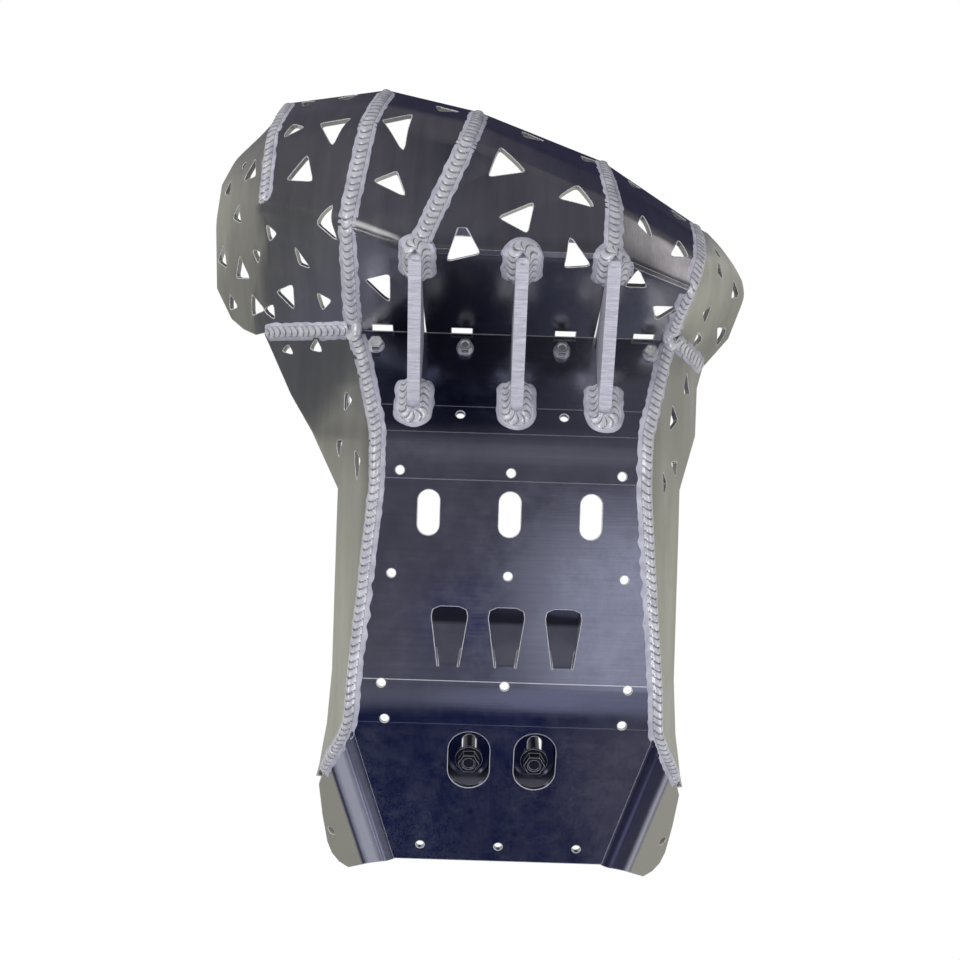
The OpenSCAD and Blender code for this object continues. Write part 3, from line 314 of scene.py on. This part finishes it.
def plated(name, dark, light, rough, shade=False):
    """Bright zinc plating with a faint cloudiness and a painted highlight along the edges; with shade, the
    screws behind the tail get painted shade.
    """
    n = Nodes(name)
    clouds = n.noise(n.coords(), 160, 4.0)
    colour = n.mix(n.ramp(clouds, 0.35, 0.65), dark, light)
    if shade:
        _, y, _ = n.place()
        # Painted shade on the screws behind the tail, which sit in the access holes
        colour = n.mix(n.rise(y, 80, 100, 0.0, 0.92), colour, rgb(0.02, 0.02, 0.05))
    # Painted highlight along the edges of the screws
    normal, rim_highlight = n.rims(SCREW_RIM)
    n.set(Metallic=n.math("SUBTRACT", 0.88, n.times(rim_highlight, 0.5)),
          Base_Color=n.mix(n.times(rim_highlight, 0.7), colour, rgb(0.9, 0.9, 0.95)),
          Roughness=n.ramp(clouds, 0.3, 0.7, *rough), Normal=normal)
    return n.material


ALONG_X = (0.03, 1, 1)
ALONG_Y = (1, 0.03, 0.25)
MATERIAL = {
    "belly_sheet": brushed("belly_sheet", rgb(0.50, 0.51, 0.56), rgb(0.66, 0.67, 0.72), (0.12, 0.26),
                           ALONG_X, mottle=0.72, depth=0.00004, finish=plate_marks_and_painted_light),
    "folded_sheet": brushed("folded_sheet", rgb(0.60, 0.60, 0.58), rgb(0.76, 0.75, 0.73), (0.18, 0.27),
                            ALONG_Y, mottle=0.15, finish=guard_painted_shade),
    # The bracket's colours are darkened as painted shade, for its place behind the access holes
    "bracket_sheet": brushed("bracket_sheet", rgb(0.20, 0.20, 0.26), rgb(0.30, 0.30, 0.36), (0.16, 0.3),
                             ALONG_X),
    "fin_bar": sawn("fin_bar", rgb(0.50, 0.49, 0.58), rgb(0.80, 0.79, 0.88)),
    "weld_bead": frosted("weld_bead", rgb(0.70, 0.70, 0.77), rgb(0.94, 0.94, 0.98), (0.12, 0.27), 0.58,
                         grooves=0.95),
    "weld_halo": frosted("weld_halo", rgb(0.50, 0.50, 0.60), rgb(0.68, 0.68, 0.78), (0.45, 0.65), 0.45, 1500),
    "strap_steel": plated("strap_steel", rgb(0.5, 0.51, 0.53), rgb(0.64, 0.65, 0.67), (0.25, 0.4)),
    "zinc_fastener": plated("zinc_fastener", rgb(0.72, 0.73, 0.75), rgb(0.88, 0.88, 0.9), (0.05, 0.09),
                            shade=True),
}
for part in frame["record"]["subparts"]:
    mesh = nodes[part["node"]].data
    mesh.materials.clear()
    mesh.materials.append(MATERIAL[part["material_slot"]])


# The bars get a small bevel, and the sheets are shaded evenly across their folds
SHEETS = ["bottom_plate", "left_flange", "right_flange", "guard_left", "guard_mid_left", "guard_center",
          "guard_mid_right", "guard_right"]
FINS = ["fin_left", "fin_center", "fin_right"]
FIN_BEVEL = 0.7 * MM
SHARP = math.radians(35)
FOLD_STEP = math.radians(24)

for name in FINS:
    bevel = nodes[name].modifiers.new("edge", "BEVEL")
    bevel.width = FIN_BEVEL
    bevel.segments = 2
    bevel.limit_method = "ANGLE"
    bevel.angle_limit = SHARP
    bevel.harden_normals = True


def add_piece(name, mesh):
    """Puts a mesh in the scene as a piece of the part."""
    piece = bpy.data.objects.new(name, mesh)
    scene.collection.objects.link(piece)
    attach(piece, "root")
    return piece


def dressed(name):
    """A copy of a sheet, smooth round its folds and flat between them, in place of the plain one."""
    mesh = nodes[name].data.copy()
    mesh.name = name + "_dressed"
    work = bmesh.new()
    work.from_mesh(mesh)
    bmesh.ops.remove_doubles(work, verts=work.verts, dist=1e-6)
    for face in work.faces:
        face.smooth = True
    for edge in work.edges:
        edge.smooth = len(edge.link_faces) == 2 and edge.calc_face_angle(0.0) < FOLD_STEP
    work.to_mesh(mesh)
    work.free()
    piece = add_piece(name + "_dressed", mesh)
    even = piece.modifiers.new("even", "WEIGHTED_NORMAL")
    even.weight = 100
    even.keep_sharp = True
    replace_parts(piece, name)


TONGUE_PITCH = 42.6
RIB_SIZE = (24, 11, 1)
RIB_BACK, RIB_UP = 57.5, 4.7


def tongue_rib(number):
    """A thin pressed rib over the root of a tongue, on the hidden side."""
    mesh = bpy.data.meshes.new("tongue_rib_%d" % number)
    work = bmesh.new()
    bmesh.ops.create_cube(work, size=1.0)
    bmesh.ops.scale(work, vec=mm(*RIB_SIZE), verts=work.verts)
    bmesh.ops.translate(work, vec=mm((number - 1) * TONGUE_PITCH, RIB_BACK, RIB_UP), verts=work.verts)
    work.to_mesh(mesh)
    work.free()
    mesh.materials.append(MATERIAL["belly_sheet"])
    add_piece("tongue_rib_%d" % number, mesh)


for number in range(3):
    tongue_rib(number)


def surface_of(names):
    """One search tree over several CAD nodes."""
    verts, faces = [], []
    for name in names:
        mesh = nodes[name].data
        base = len(verts)
        verts += [v.co.copy() for v in mesh.vertices]
        faces += [[base + i for i in f.vertices] for f in mesh.polygons]
    return BVHTree.FromPolygons(verts, faces)


sheet_surface = surface_of(SHEETS)
for name in SHEETS:
    dressed(name)


def on_sheet(point, lift=0.0):
    """The nearest point on the sheets, a little above them."""
    spot, normal, _, _ = sheet_surface.find_nearest(point)
    return spot + normal * lift


# Weld beads: rows of overlapping ripples, with a frosted band where the heat has reached
RIPPLE = 6.0 * MM
STEP = 0.5 * MM
BEAD_HALF = 4.5 * MM
BEAD_HEIGHT = 2.1 * MM
HALO = 3.4 * MM
# How far from its ends a bead reaches full size, and its halo full width
END_REACH = 1.2 * BEAD_HALF
HALO_REACH = 0.9 * BEAD_HALF
# Places across a bead, from foot to foot
DOME = [-1, -0.88, -0.68, -0.42, -0.14, 0.14, 0.42, 0.68, 0.88, 1]
# Where the guard starts: the front edge of the plate, in millimetres
EDGE_Y, EDGE_Z = -196.96, 52.09
FOLD = 7 * MM
NOWHERE = Vector((0, 0, 0))


def guard_point(across, ahead, up):
    return mm(across, EDGE_Y - ahead, EDGE_Z + up)


def rounded(points, reach=FOLD):
    """The polyline with a short curve at every inner corner."""
    out = [points[0]]
    for a, p, b in zip(points, points[1:], points[2:]):
        start = p + (a - p).normalized() * min(reach, (a - p).length / 2)
        end = p + (b - p).normalized() * min(reach, (b - p).length / 2)
        for k in range(6):
            t = k / 5
            out.append(start.lerp(p, t).lerp(p.lerp(end, t), t))
    return out + [points[-1]]


def walk(points, step=STEP):
    """Even samples along a polyline, as (distance, point, direction)."""
    out = []
    done = 0.0
    total = sum((b - a).length for a, b in zip(points, points[1:]))
    count = max(2, round(total / step))
    even = total / count
    wanted = 0.0
    for a, b in zip(points, points[1:]):
        length = (b - a).length
        while wanted <= done + length + 1e-9 and len(out) <= count:
            out.append((wanted, a.lerp(b, max(0.0, (wanted - done) / length)), (b - a).normalized()))
            wanted += even
        done += length
    return out


def ripple(s, u, seed):
    """Height and tone of the bead at distance s and place u across it: scales, with painted shade in the
    grooves, lightest just past each one.
    """
    crescent = 0.66 * (1 - u * u)
    wobble = 0.16 * noise.noise(Vector((s / RIPPLE * 0.7, seed, 0)))
    f = (s / RIPPLE + crescent + wobble) % 1.0
    scale = (f / 0.2) ** 0.6 if f < 0.2 else 1 - 0.5 * ((f - 0.2) / 0.8) ** 1.4
    groove = math.exp(-((f - 0.02 if f < 0.52 else 1.02 - f) / 0.105) ** 2)
    return 0.5 + 0.5 * scale, (1 - groove) * (1 - 0.35 * f)


def bead_mesh(name, rings, tones, halo=True):
    """A closed tube through the rings. With a halo, the faces outside the dome are frosted."""
    count = len(rings[0])
    mesh = bpy.data.meshes.new(name)
    verts = [p for ring in rings for p in ring]
    faces, slots = [], []
    for i in range(len(rings) - 1):
        for j in range(count):
            a, b = i * count + j, i * count + (j + 1) % count
            faces.append((a, b, b + count, a + count))
            slots.append(1 if halo and not 1 <= j < len(DOME) else 0)
    faces.append(tuple(reversed(range(count))))
    faces.append(tuple((len(rings) - 1) * count + j for j in range(count)))
    slots += [0, 0]
    mesh.from_pydata(verts, [], faces)
    groove = mesh.attributes.new("groove", "FLOAT", "POINT")
    groove.data.foreach_set("value", [t for row in tones for t in row])
    mesh.materials.append(MATERIAL["weld_bead"])
    mesh.materials.append(MATERIAL["weld_halo"])
    mesh.polygons.foreach_set("material_index", slots)
    work = bmesh.new()
    work.from_mesh(mesh)
    bmesh.ops.recalc_face_normals(work, faces=work.faces)
    work.to_mesh(mesh)
    work.free()
    mesh.polygons.foreach_set("use_smooth", [True] * len(mesh.polygons))
    return add_piece(name, mesh)


def ring_between(s, total, foot_a, mid, foot_b, up, outer_a, outer_b, height, seed):
    """One section: halo edge, dome from foot to foot over the middle, halo edge, and a hidden underside."""
    start = min(1.0, (s / END_REACH) ** 0.5) if s > 0 else 0.0
    finish = min(1.0, ((total - s) / END_REACH) ** 0.5) if total > s else 0.0
    taper = 0.25 + 0.75 * min(start, finish)
    narrow = 0.45 + 0.55 * min(start, finish)
    to_end = min(max(s, 0), max(total - s, 0))
    closing = 0.42 + 0.58 * min(1.0, to_end / HALO_REACH) ** 0.5
    outer_a, outer_b = mid.lerp(outer_a, closing), mid.lerp(outer_b, closing)
    ring = [outer_a]
    tones = [0.5]
    for u in DOME:
        v = u * narrow
        base = foot_a * ((v * v - v) / 2) + mid * (1 - v * v) + foot_b * ((v * v + v) / 2)
        dome = max(0.0, 1 - u * u) ** 0.62
        share, tone = ripple(s, u, seed)
        ring.append(base + up * (height * taper * dome * share + 0.06 * MM))
        # The feet take part of the painted groove shade, where the bead meets the sheet
        tones.append(tone if abs(u) < 0.9 else 0.4)
    ring.append(outer_b)
    sink = up * (-0.5 * MM)
    return ring + [outer_b + sink, mid + sink * 2, outer_a + sink], tones + [0.5] * 4


def cast(target, up, lift=0.05 * MM):
    """The first sheet met from outside, coming down on the target; the target itself where there is none."""
    spot, normal, _, _ = sheet_surface.ray_cast(target + up * 7 * MM, -up, 14 * MM)
    if spot is None or normal.dot(up) < 0.2:
        return target, None
    return spot + normal * lift, normal


def outward(point, along, half):
    """Direction out of the part, square to the seam and even to the sheets on both sides."""
    if point.y < (EDGE_Y - 2) * MM:
        core = Vector((point.x * 0.7, -0.225, 0.075))
    else:
        core = Vector((point.x * 0.5, point.y + 0.01, point.z + 0.055))
    up = point - core
    up = (up - along * up.dot(along)).normalized()
    for _ in range(2):
        side = along.cross(up).normalized()
        _, left = cast(point + side * half, up)
        _, right = cast(point - side * half, up)
        if left is not None and right is not None:
            total = left + right
            total -= along * total.dot(along)
            if total.length > 1e-6:
                up = total.normalized()
    return up


def smooth(rows, reach=3):
    """Moving average of the points in each column of the rows."""
    out = []
    for i in range(len(rows)):
        window = rows[max(0, i - reach):i + reach + 1]
        out.append([sum(column, NOWHERE) / len(window) for column in zip(*window)])
    return out


def along_weld(points, replaced):
    """Moves the points sideways onto the middle of the CAD bead that they follow."""
    verts = [v.co for v in nodes[replaced].data.vertices]
    out = []
    for _, p, d in walk(points, 2 * MM):
        near = [v for v in verts if (v - p).length < 11 * MM and abs((v - p).dot(d)) < 4.5 * MM]
        if len(near) > 5:
            shift = sum(near, NOWHERE) / len(near) - p
            out.append(p + shift - d * shift.dot(d))
        elif not out or (p - out[-1]).length < 6 * MM:
            out.append(p)
    out = smooth([[p] for p in out], 2)
    return [row[0] for row in out]


def seam_bead(name, replaced, points, seed, half=BEAD_HALF):
    """A bead along a seam between two sheets."""
    samples = walk(along_weld(rounded(points), replaced))
    total = samples[-1][0]
    raw = [outward(p, d, half) for _, p, d in samples]
    reach = half + HALO
    rows, ups = [], []
    for i, (_, p, d) in enumerate(samples):
        up = sum(raw[max(0, i - 6):i + 7], NOWHERE).normalized()
        up = (up - d * up.dot(d)).normalized()
        side = d.cross(up).normalized()
        rows.append([cast(p + side * k, up)[0] for k in (reach, half, 0, -half, -reach)])
        ups.append(up)
    rings, tones = [], []
    for (s, _, _), (far_a, near_a, mid, near_b, far_b), up in zip(samples, smooth(rows, 5), ups):
        wave = 0.05 * noise.noise(Vector((s * 160, seed, 3))) + 0.10 * (ripple(s, 0.9, seed)[0] - 0.8)
        foot_a = near_a.lerp(far_a, max(-0.2, wave * 1.3))
        foot_b = near_b.lerp(far_b, max(-0.2, wave * 1.3))
        outer_a = near_a.lerp(far_a, 0.86 + 0.4 * noise.noise(Vector((s * 130, seed, 7))))
        outer_b = near_b.lerp(far_b, 0.86 + 0.4 * noise.noise(Vector((s * 130, seed, 11))))
        between = (near_a + near_b) / 2
        mid = mid + up * max(0.0, (between - mid).dot(up))
        ring, row = ring_between(s, total, foot_a, mid, foot_b, up, outer_a, outer_b, BEAD_HEIGHT, seed)
        rings.append(ring)
        tones.append(row)
    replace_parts(bead_mesh(name, rings, tones), replaced)


def puddle(name, centre, ahead, out, radii, seed):
    """The round end of a fillet, with the crater where the arc was broken off."""
    across = ahead.cross(out).normalized()
    turns, rows = 32, 12
    rings, tones = [], []
    for i in range(rows + 1):
        a = math.pi * i / rows
        ring, row = [], []
        r = math.sin(a)
        wave = 0.10 * math.cos(r * 9.0) * (1 if a < math.pi / 2 else 0)
        crater = 0.34 * math.exp(-(r / 0.2) ** 2) if a < math.pi / 2 else 0.0
        for k in range(turns):
            b = 2 * math.pi * k / turns
            edge = 1 + 0.07 * noise.noise(Vector((math.cos(b) * 1.3, math.sin(b) * 1.3, seed)))
            ring.append(centre + across * (radii[0] * MM * r * edge * math.cos(b)) +
                        ahead * (radii[1] * MM * r * edge * math.sin(b)) +
                        out * (radii[2] * MM * (math.cos(a) * (1 + wave) - crater)))
            # Tones for painted shade: lighter on the crests of the rings, darker in their troughs and in the
            # crater
            row.append(0.7 + wave * 2.4 - crater)
        rings.append(ring)
        tones.append(row)
    return bead_mesh(name, rings, tones, halo=False)


# The seams of the guard: across, ahead of the plate's front edge and up from it, in millimetres
SEAM = {
    "dart": [(-199, 93, -16), (-200, 157, 10), (-197, 180, 32), (-196, 199, 60)],
    "seam_1": [(-128, 0, 0), (-128, 71, -60), (-118, 156, -28), (-113, 179, -4), (-109, 202, 30)],
    "seam_2": [(-75, 50, -70), (-41, 139, -40), (-35, 164, -12), (-33, 185, 26)],
    "seam_3": [(69, 50, -70), (72, 95, -46), (70, 123, -14), (69, 147, 24)],
    "seam_4": [(125, 0, 0), (131, 31, -52), (142, 58, -30), (146, 81, -2), (149, 100, 34)],
    "to_left_flange": [(-128, 0, 0), (-199, 2, 38), (-207, 1, 44)],
    "to_right_flange": [(125, 0, 0), (138, -5, 12), (150, -11, 30), (160, -16, 46)],
}


# Seams with a wider bead than the others
WIDER = {"seam_1": 1.08, "seam_2": 1.1}
for seed, (name, places) in enumerate(SEAM.items(), 1):
    seam_bead("bead_" + name, "weld_guard_" + name, [guard_point(*place) for place in places], seed,
              BEAD_HALF * WIDER.get(name, 1.0))

# Long beads between the plate and the side flanges: half width of the plate at places along it
PLATE_EDGE = [(EDGE_Y, 125), (-116.56, 103), (-79, 102), (0, 108.6), (69, 115.5), (102.37, 117.5)]
PLATE_RISE = [(EDGE_Y, EDGE_Z), (-116.56, 9.36), (-107, 4.9), (-98, 2.26), (-88, 0.5), (-79, 0), (69, 0),
              (77.3, 0.32), (85.7, 1.29), (94, 2.93), (102.37, 5.29)]
# The wing's front edge on each side, from its bend to its tip
WING_EDGE = [(119.4, 108, 8.4), (122.4, 113.8, 11.9), (126.1, 119.9, 15.9), (139.6, 147.6, 42.5),
             (147.6, 163.4, 60.6)]


def table(pairs, y):
    """The value at y, between the two nearest pairs."""
    for (y0, v0), (y1, v1) in zip(pairs, pairs[1:]):
        if y0 <= y <= y1:
            return v0 + (v1 - v0) * (y - y0) / (y1 - y0)
    return pairs[-1][1]


def flange_bead(name, replaced, side, seed):
    """A bead along one edge of the plate and on along its wing's front edge."""
    places = sorted({y for y, _ in PLATE_EDGE} | {y for y, _ in PLATE_RISE})
    points = [mm(side * table(PLATE_EDGE, y), y, table(PLATE_RISE, y)) for y in places]
    lowest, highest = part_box(replaced)
    points += [mm(side * x, y, z) for x, y, z in WING_EDGE if y * MM < highest.y - 4 * MM]
    end = Vector((lowest.x if side < 0 else highest.x, highest.y, highest.z))
    points.append(end - Vector((side * 4, 1, 2)) * MM)
    snapped = [points[0]] + [on_sheet(p + mm(0, 0, -1)) for p in points[1:]]
    snapped.reverse()
    seam_bead(name, replaced, snapped, seed)


def corner_puddle(name, replaced, across, radius, seed):
    """The blob where three beads meet at a corner of the plate."""
    at = guard_point(across, 0, 0)
    out = (at - Vector((at.x * 0.45, at.y + 0.012, at.z + 0.055))).normalized()
    ahead = (Vector((0, -1, 0)) + out * out.y).normalized()
    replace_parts(puddle(name, at - out * 1.5 * MM, ahead, out, (radius, radius, 5.2), seed), replaced)


flange_bead("bead_left_flange", "weld_left_flange", -1, 8.0)
flange_bead("bead_right_flange", "weld_right_flange", 1, 9.0)
corner_puddle("bead_left_corner", "weld_left_flange", -128, 9.5, 50.0)
corner_puddle("bead_right_corner", "weld_right_flange", 125.5, 9.0, 51.0)

# Fillets round both ends of each fin
FIN_LEG = 6.9 * MM
LEG_LENGTH = 27 * MM
FIN_HALO = 3.6 * MM
SLOPE = math.radians(28)
WALL_UP = Vector((0, 50, 70)).normalized()
WALL_OUT = Vector((0, 70, -50)).normalized()
SLOPE_UP = Vector((0, math.sin(SLOPE), math.cos(SLOPE)))
SLOPE_AHEAD = Vector((0, -math.cos(SLOPE), math.sin(SLOPE)))
PANEL_AHEAD = Vector((0, -89, 30)).normalized()
PANEL_OUT = Vector((0, -30, -89)).normalized()
# Where the fins meet the guard: ahead of the plate's front edge and below it, in millimetres
TIP_AHEAD, TIP_DOWN = 50.4, 70.6
PAST_END = 1.2 * MM


def fin_fillet(name, fin, centre, ahead, out, leg, leg_out, seed):
    """A U of ripples: down one side of the fin, round its end and up the other side."""
    low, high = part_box(fin)
    r = (high.x - low.x) / 2 + 0.1 * MM
    side = ahead.cross(out).normalized()
    path = []
    legs = max(4, round(LEG_LENGTH / STEP))
    turns = max(6, round(math.pi * (r + FIN_LEG / 2) / STEP))
    for k in range(legs, 0, -1):
        path.append((centre - side * r + leg * (k * STEP), -side, leg_out))
    for k in range(turns + 1):
        a = math.pi * k / turns
        d = -side * math.cos(a) + ahead * math.sin(a)
        blend = math.sin(a)
        upward = leg_out * (1 - blend) + (out * 0.62 - d * 0.9) * blend
        path.append((centre + d * r, d, upward.normalized()))
    for k in range(1, legs + 1):
        path.append((centre + side * r + leg * (k * STEP), side, leg_out))
    rings, tones = [], []
    s = 0.0
    total = (len(path) - 1) * STEP
    for p, d, u in path:
        wave = 1 + 0.06 * noise.noise(Vector((s * 160, seed, 3)))
        width = FIN_LEG * wave * (0.93 + 0.07 * ripple(s, 0.9, seed)[0])
        band = FIN_HALO * (1 + 0.4 * noise.noise(Vector((s * 130, seed, 7))))
        up = (d + u).normalized()
        foot_a = on_sheet(p + d * width + u * MM, 0.05 * MM)
        outer_a = on_sheet(p + d * (width + band) + u * MM, 0.03 * MM)
        foot_b = p + u * width * 0.95
        mid = (foot_a + foot_b) / 2 * 0.62 + p * 0.38
        ring, row = ring_between(s, total, foot_a, mid, foot_b, up, outer_a, foot_b + u * 0.4 * MM,
                                 BEAD_HEIGHT * 0.95, seed)
        rings.append(ring)
        tones.append(row)
        s += STEP
    return bead_mesh(name, rings, tones)


for number, fin in enumerate(FINS):
    weld = "weld_" + fin
    low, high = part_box(fin)
    x = (low.x + high.x) / 2
    tip = Vector((x, EDGE_Y * MM - TIP_AHEAD * MM, (EDGE_Z - TIP_DOWN) * MM))
    back = high.y + PAST_END
    heel = Vector((x, back, EDGE_Z * MM - (back - EDGE_Y * MM) * math.tan(SLOPE)))
    front = fin_fillet("bead_%s_front" % fin, fin, tip, PANEL_AHEAD, PANEL_OUT, WALL_UP, WALL_OUT,
                       10.0 + number)
    rear = fin_fillet("bead_%s_rear" % fin, fin, heel, -SLOPE_AHEAD, -SLOPE_UP, SLOPE_AHEAD, -SLOPE_UP,
                      14.0 + number)
    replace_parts(front, weld)
    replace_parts(rear, weld)
    nose = Vector((x, low.y - PAST_END, low.z + 3.9 * MM))
    caps = [("bead_%s_tip" % fin, nose, PANEL_AHEAD, PANEL_OUT, 3.2),
            ("bead_%s_heel" % fin, heel + SLOPE_AHEAD * PAST_END, SLOPE_AHEAD, -SLOPE_UP, 4.2)]
    for count, (name, centre, ahead, out, height) in enumerate(caps):
        piece = puddle(name, centre, ahead, out, (6.2, 6.4, height), 30.0 + 2 * number + count)
        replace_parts(piece, weld)


# Studio: pale floor far below, white all round, and a shell of tones that only reflections see
FLOOR_Z = -1.3
FLOOR_HALF = 300
SHELL_RADIUS = 1.25
SPARK = rgb(3.0, 3.0, 3.1)
# Soft patches, each laid over those before it: direction, inner and outer reach in degrees, and tone
PATCHES = (
    ((0.30, -0.80, 0.56), 10, 22, rgb(0.030, 0.030, 0.062)),
    ((-0.05, -0.82, 0.57), 6, 14, rgb(0.030, 0.030, 0.060)),
    ((0.10, -0.62, -0.78), 6, 14, rgb(0.150, 0.148, 0.180)),
    ((-0.05, -0.925, -0.375), 4, 8, rgb(0.008, 0.010, 0.030)),
    ((-0.55, -0.55, -0.64), 4, 23, rgb(0.98, 0.96, 1.0)),
    ((0.63, 0.42, -0.65), 3, 19, rgb(0.90, 0.88, 0.94)),
    ((-0.5, 0.25, -0.83), 3.5, 7, SPARK),
    ((0.5, -0.25, -0.83), 3, 6, SPARK),
    ((-0.76, 0.1, -0.64), 2, 4, SPARK),
    ((0.78, 0.12, -0.62), 2, 4, SPARK),
    ((0.63, -0.77, -0.03), 2, 7, rgb(0.75, 0.71, 0.75)),
    ((-0.02, 0.82, -0.57), 13, 24, rgb(0.008, 0.013, 0.055)),
    ((0.34, 0.76, -0.55), 10, 15, rgb(0.075, 0.071, 0.110)),
    ((-0.60, 0.78, 0.06), 4, 10, rgb(0.55, 0.56, 0.70)),
    ((0.60, 0.78, 0.06), 4, 10, rgb(0.45, 0.45, 0.56)),
    ((0.12, 0.46, -0.88), 7, 12, rgb(0.19, 0.20, 0.30)),
    ((-0.04, 0.15, -0.99), 2.5, 4, rgb(0.030, 0.034, 0.120)),
    ((0.22, 0.14, -0.965), 5, 12, rgb(0.43, 0.44, 0.56)),
)


def surroundings_tone():
    """The workshop as the metal mirrors it: charcoal below, navy at both ends, grey above."""
    n = Nodes("surroundings")
    unit = n.add("ShaderNodeVectorMath", i0=n.add("ShaderNodeTexCoord").outputs["Object"])
    unit.operation = "NORMALIZE"
    way = unit.outputs[0]
    split = n.add("ShaderNodeSeparateXYZ", i0=way)
    x, y, z = split.outputs["X"], split.outputs["Y"], split.outputs["Z"]

    def blob(direction, inner, outer):
        near = n.dot(way, Vector(direction).normalized())
        return n.ramp(near, math.cos(math.radians(outer)), math.cos(math.radians(inner)))

    drift = n.ramp(n.noise(way, 2.3, 3.0), 0.3, 0.7)
    tone = n.mix(drift, rgb(0.078, 0.077, 0.104), rgb(0.104, 0.103, 0.132))
    tone = n.mix(n.ramp(z, 0.1, 0.7), tone, rgb(0.46, 0.46, 0.44))
    side = n.mix(n.ramp(z, 0.1, 0.68), rgb(0.108, 0.110, 0.124), rgb(0.47, 0.465, 0.41))
    tone = n.mix(n.ramp(n.math("ABSOLUTE", x), 0.42, 0.7), tone, side)
    behind = n.times(n.ramp(y, 0.2, 0.5), n.ramp(z, 0.5, 0.2))
    tone = n.mix(behind, tone, rgb(0.125, 0.128, 0.175))
    ahead = n.mix(drift, rgb(0.078, 0.076, 0.100), rgb(0.105, 0.100, 0.120))
    tone = n.mix(blob((0, -0.96, 0.27), 37, 50), tone, ahead)
    for direction, inner, outer, colour in PATCHES:
        tone = n.mix(blob(direction, inner, outer), tone, colour)
    n.set(Base_Color=rgb(0, 0, 0), Roughness=1.0, Emission_Color=tone, Emission_Strength=1.0,
          Specular_IOR_Level=0.0)
    return n.material


def make_surroundings():
    mesh = bpy.data.meshes.new("surroundings")
    work = bmesh.new()
    bmesh.ops.create_uvsphere(work, u_segments=48, v_segments=24, radius=SHELL_RADIUS)
    work.to_mesh(mesh)
    work.free()
    mesh.materials.append(surroundings_tone())
    shell = bpy.data.objects.new("surroundings", mesh)
    scene.collection.objects.link(shell)
    shell.visible_camera = False
    shell.visible_diffuse = False
    shell.visible_shadow = False
    shell.visible_transmission = False
    shell.visible_volume_scatter = False


def make_floor():
    pale = Nodes("floor")
    pale.set(Base_Color=rgb(0.86, 0.86, 0.86), Roughness=0.9)
    mesh = bpy.data.meshes.new("floor")
    corners = [(x * FLOOR_HALF, y * FLOOR_HALF, FLOOR_Z) for x, y in ((-1, -1), (1, -1), (1, 1), (-1, 1))]
    mesh.from_pydata(corners, [], [(0, 1, 2, 3)])
    mesh.materials.append(pale.material)
    floor = bpy.data.objects.new("floor", mesh)
    scene.collection.objects.link(floor)


def make_world():
    """White to the camera, to reflections and through glass, and a little dimmer as light."""
    world = bpy.data.worlds.new("world")
    scene.world = world
    world.use_nodes = True
    tree = world.node_tree
    tree.nodes.clear()
    mixer = tree.nodes.new("ShaderNodeMixShader")
    for place, strength in ((1, 0.75), (2, 1.0)):
        white = tree.nodes.new("ShaderNodeBackground")
        white.inputs["Color"].default_value = rgb(1, 1, 1)
        white.inputs["Strength"].default_value = strength
        tree.links.new(white.outputs[0], mixer.inputs[place])
    path = tree.nodes.new("ShaderNodeLightPath")
    seen = path.outputs["Is Camera Ray"]
    for kind in ("Is Glossy Ray", "Is Transmission Ray"):
        both = tree.nodes.new("ShaderNodeMath")
        both.operation = "ADD"
        both.use_clamp = True
        tree.links.new(seen, both.inputs[0])
        tree.links.new(path.outputs[kind], both.inputs[1])
        seen = both.outputs[0]
    tree.links.new(seen, mixer.inputs[0])
    out = tree.nodes.new("ShaderNodeOutputWorld")
    tree.links.new(mixer.outputs[0], out.inputs[0])


def make_lamp(name, at, to, size, power):
    data = bpy.data.lights.new(name, "AREA")
    data.size = size
    data.energy = power
    light = bpy.data.objects.new(name, data)
    light.location = at
    light.rotation_mode = "QUATERNION"
    light.rotation_quaternion = (Vector(to) - Vector(at)).to_track_quat("-Z", "Y")
    light.visible_glossy = False
    scene.collection.objects.link(light)


make_floor()
make_surroundings()
make_world()
make_lamp("lamp_left", (-0.62, -0.62, -0.72), (0, -0.1, 0), 0.7, 7)
make_lamp("lamp_right", (0.68, 0.45, -0.7), (0, -0.1, 0), 0.6, 4.5)
make_lamp("lamp_above", (0.2, 0.3, 1.05), (0, 0, 0), 0.8, 10)
scene.view_settings.view_transform = "Standard"
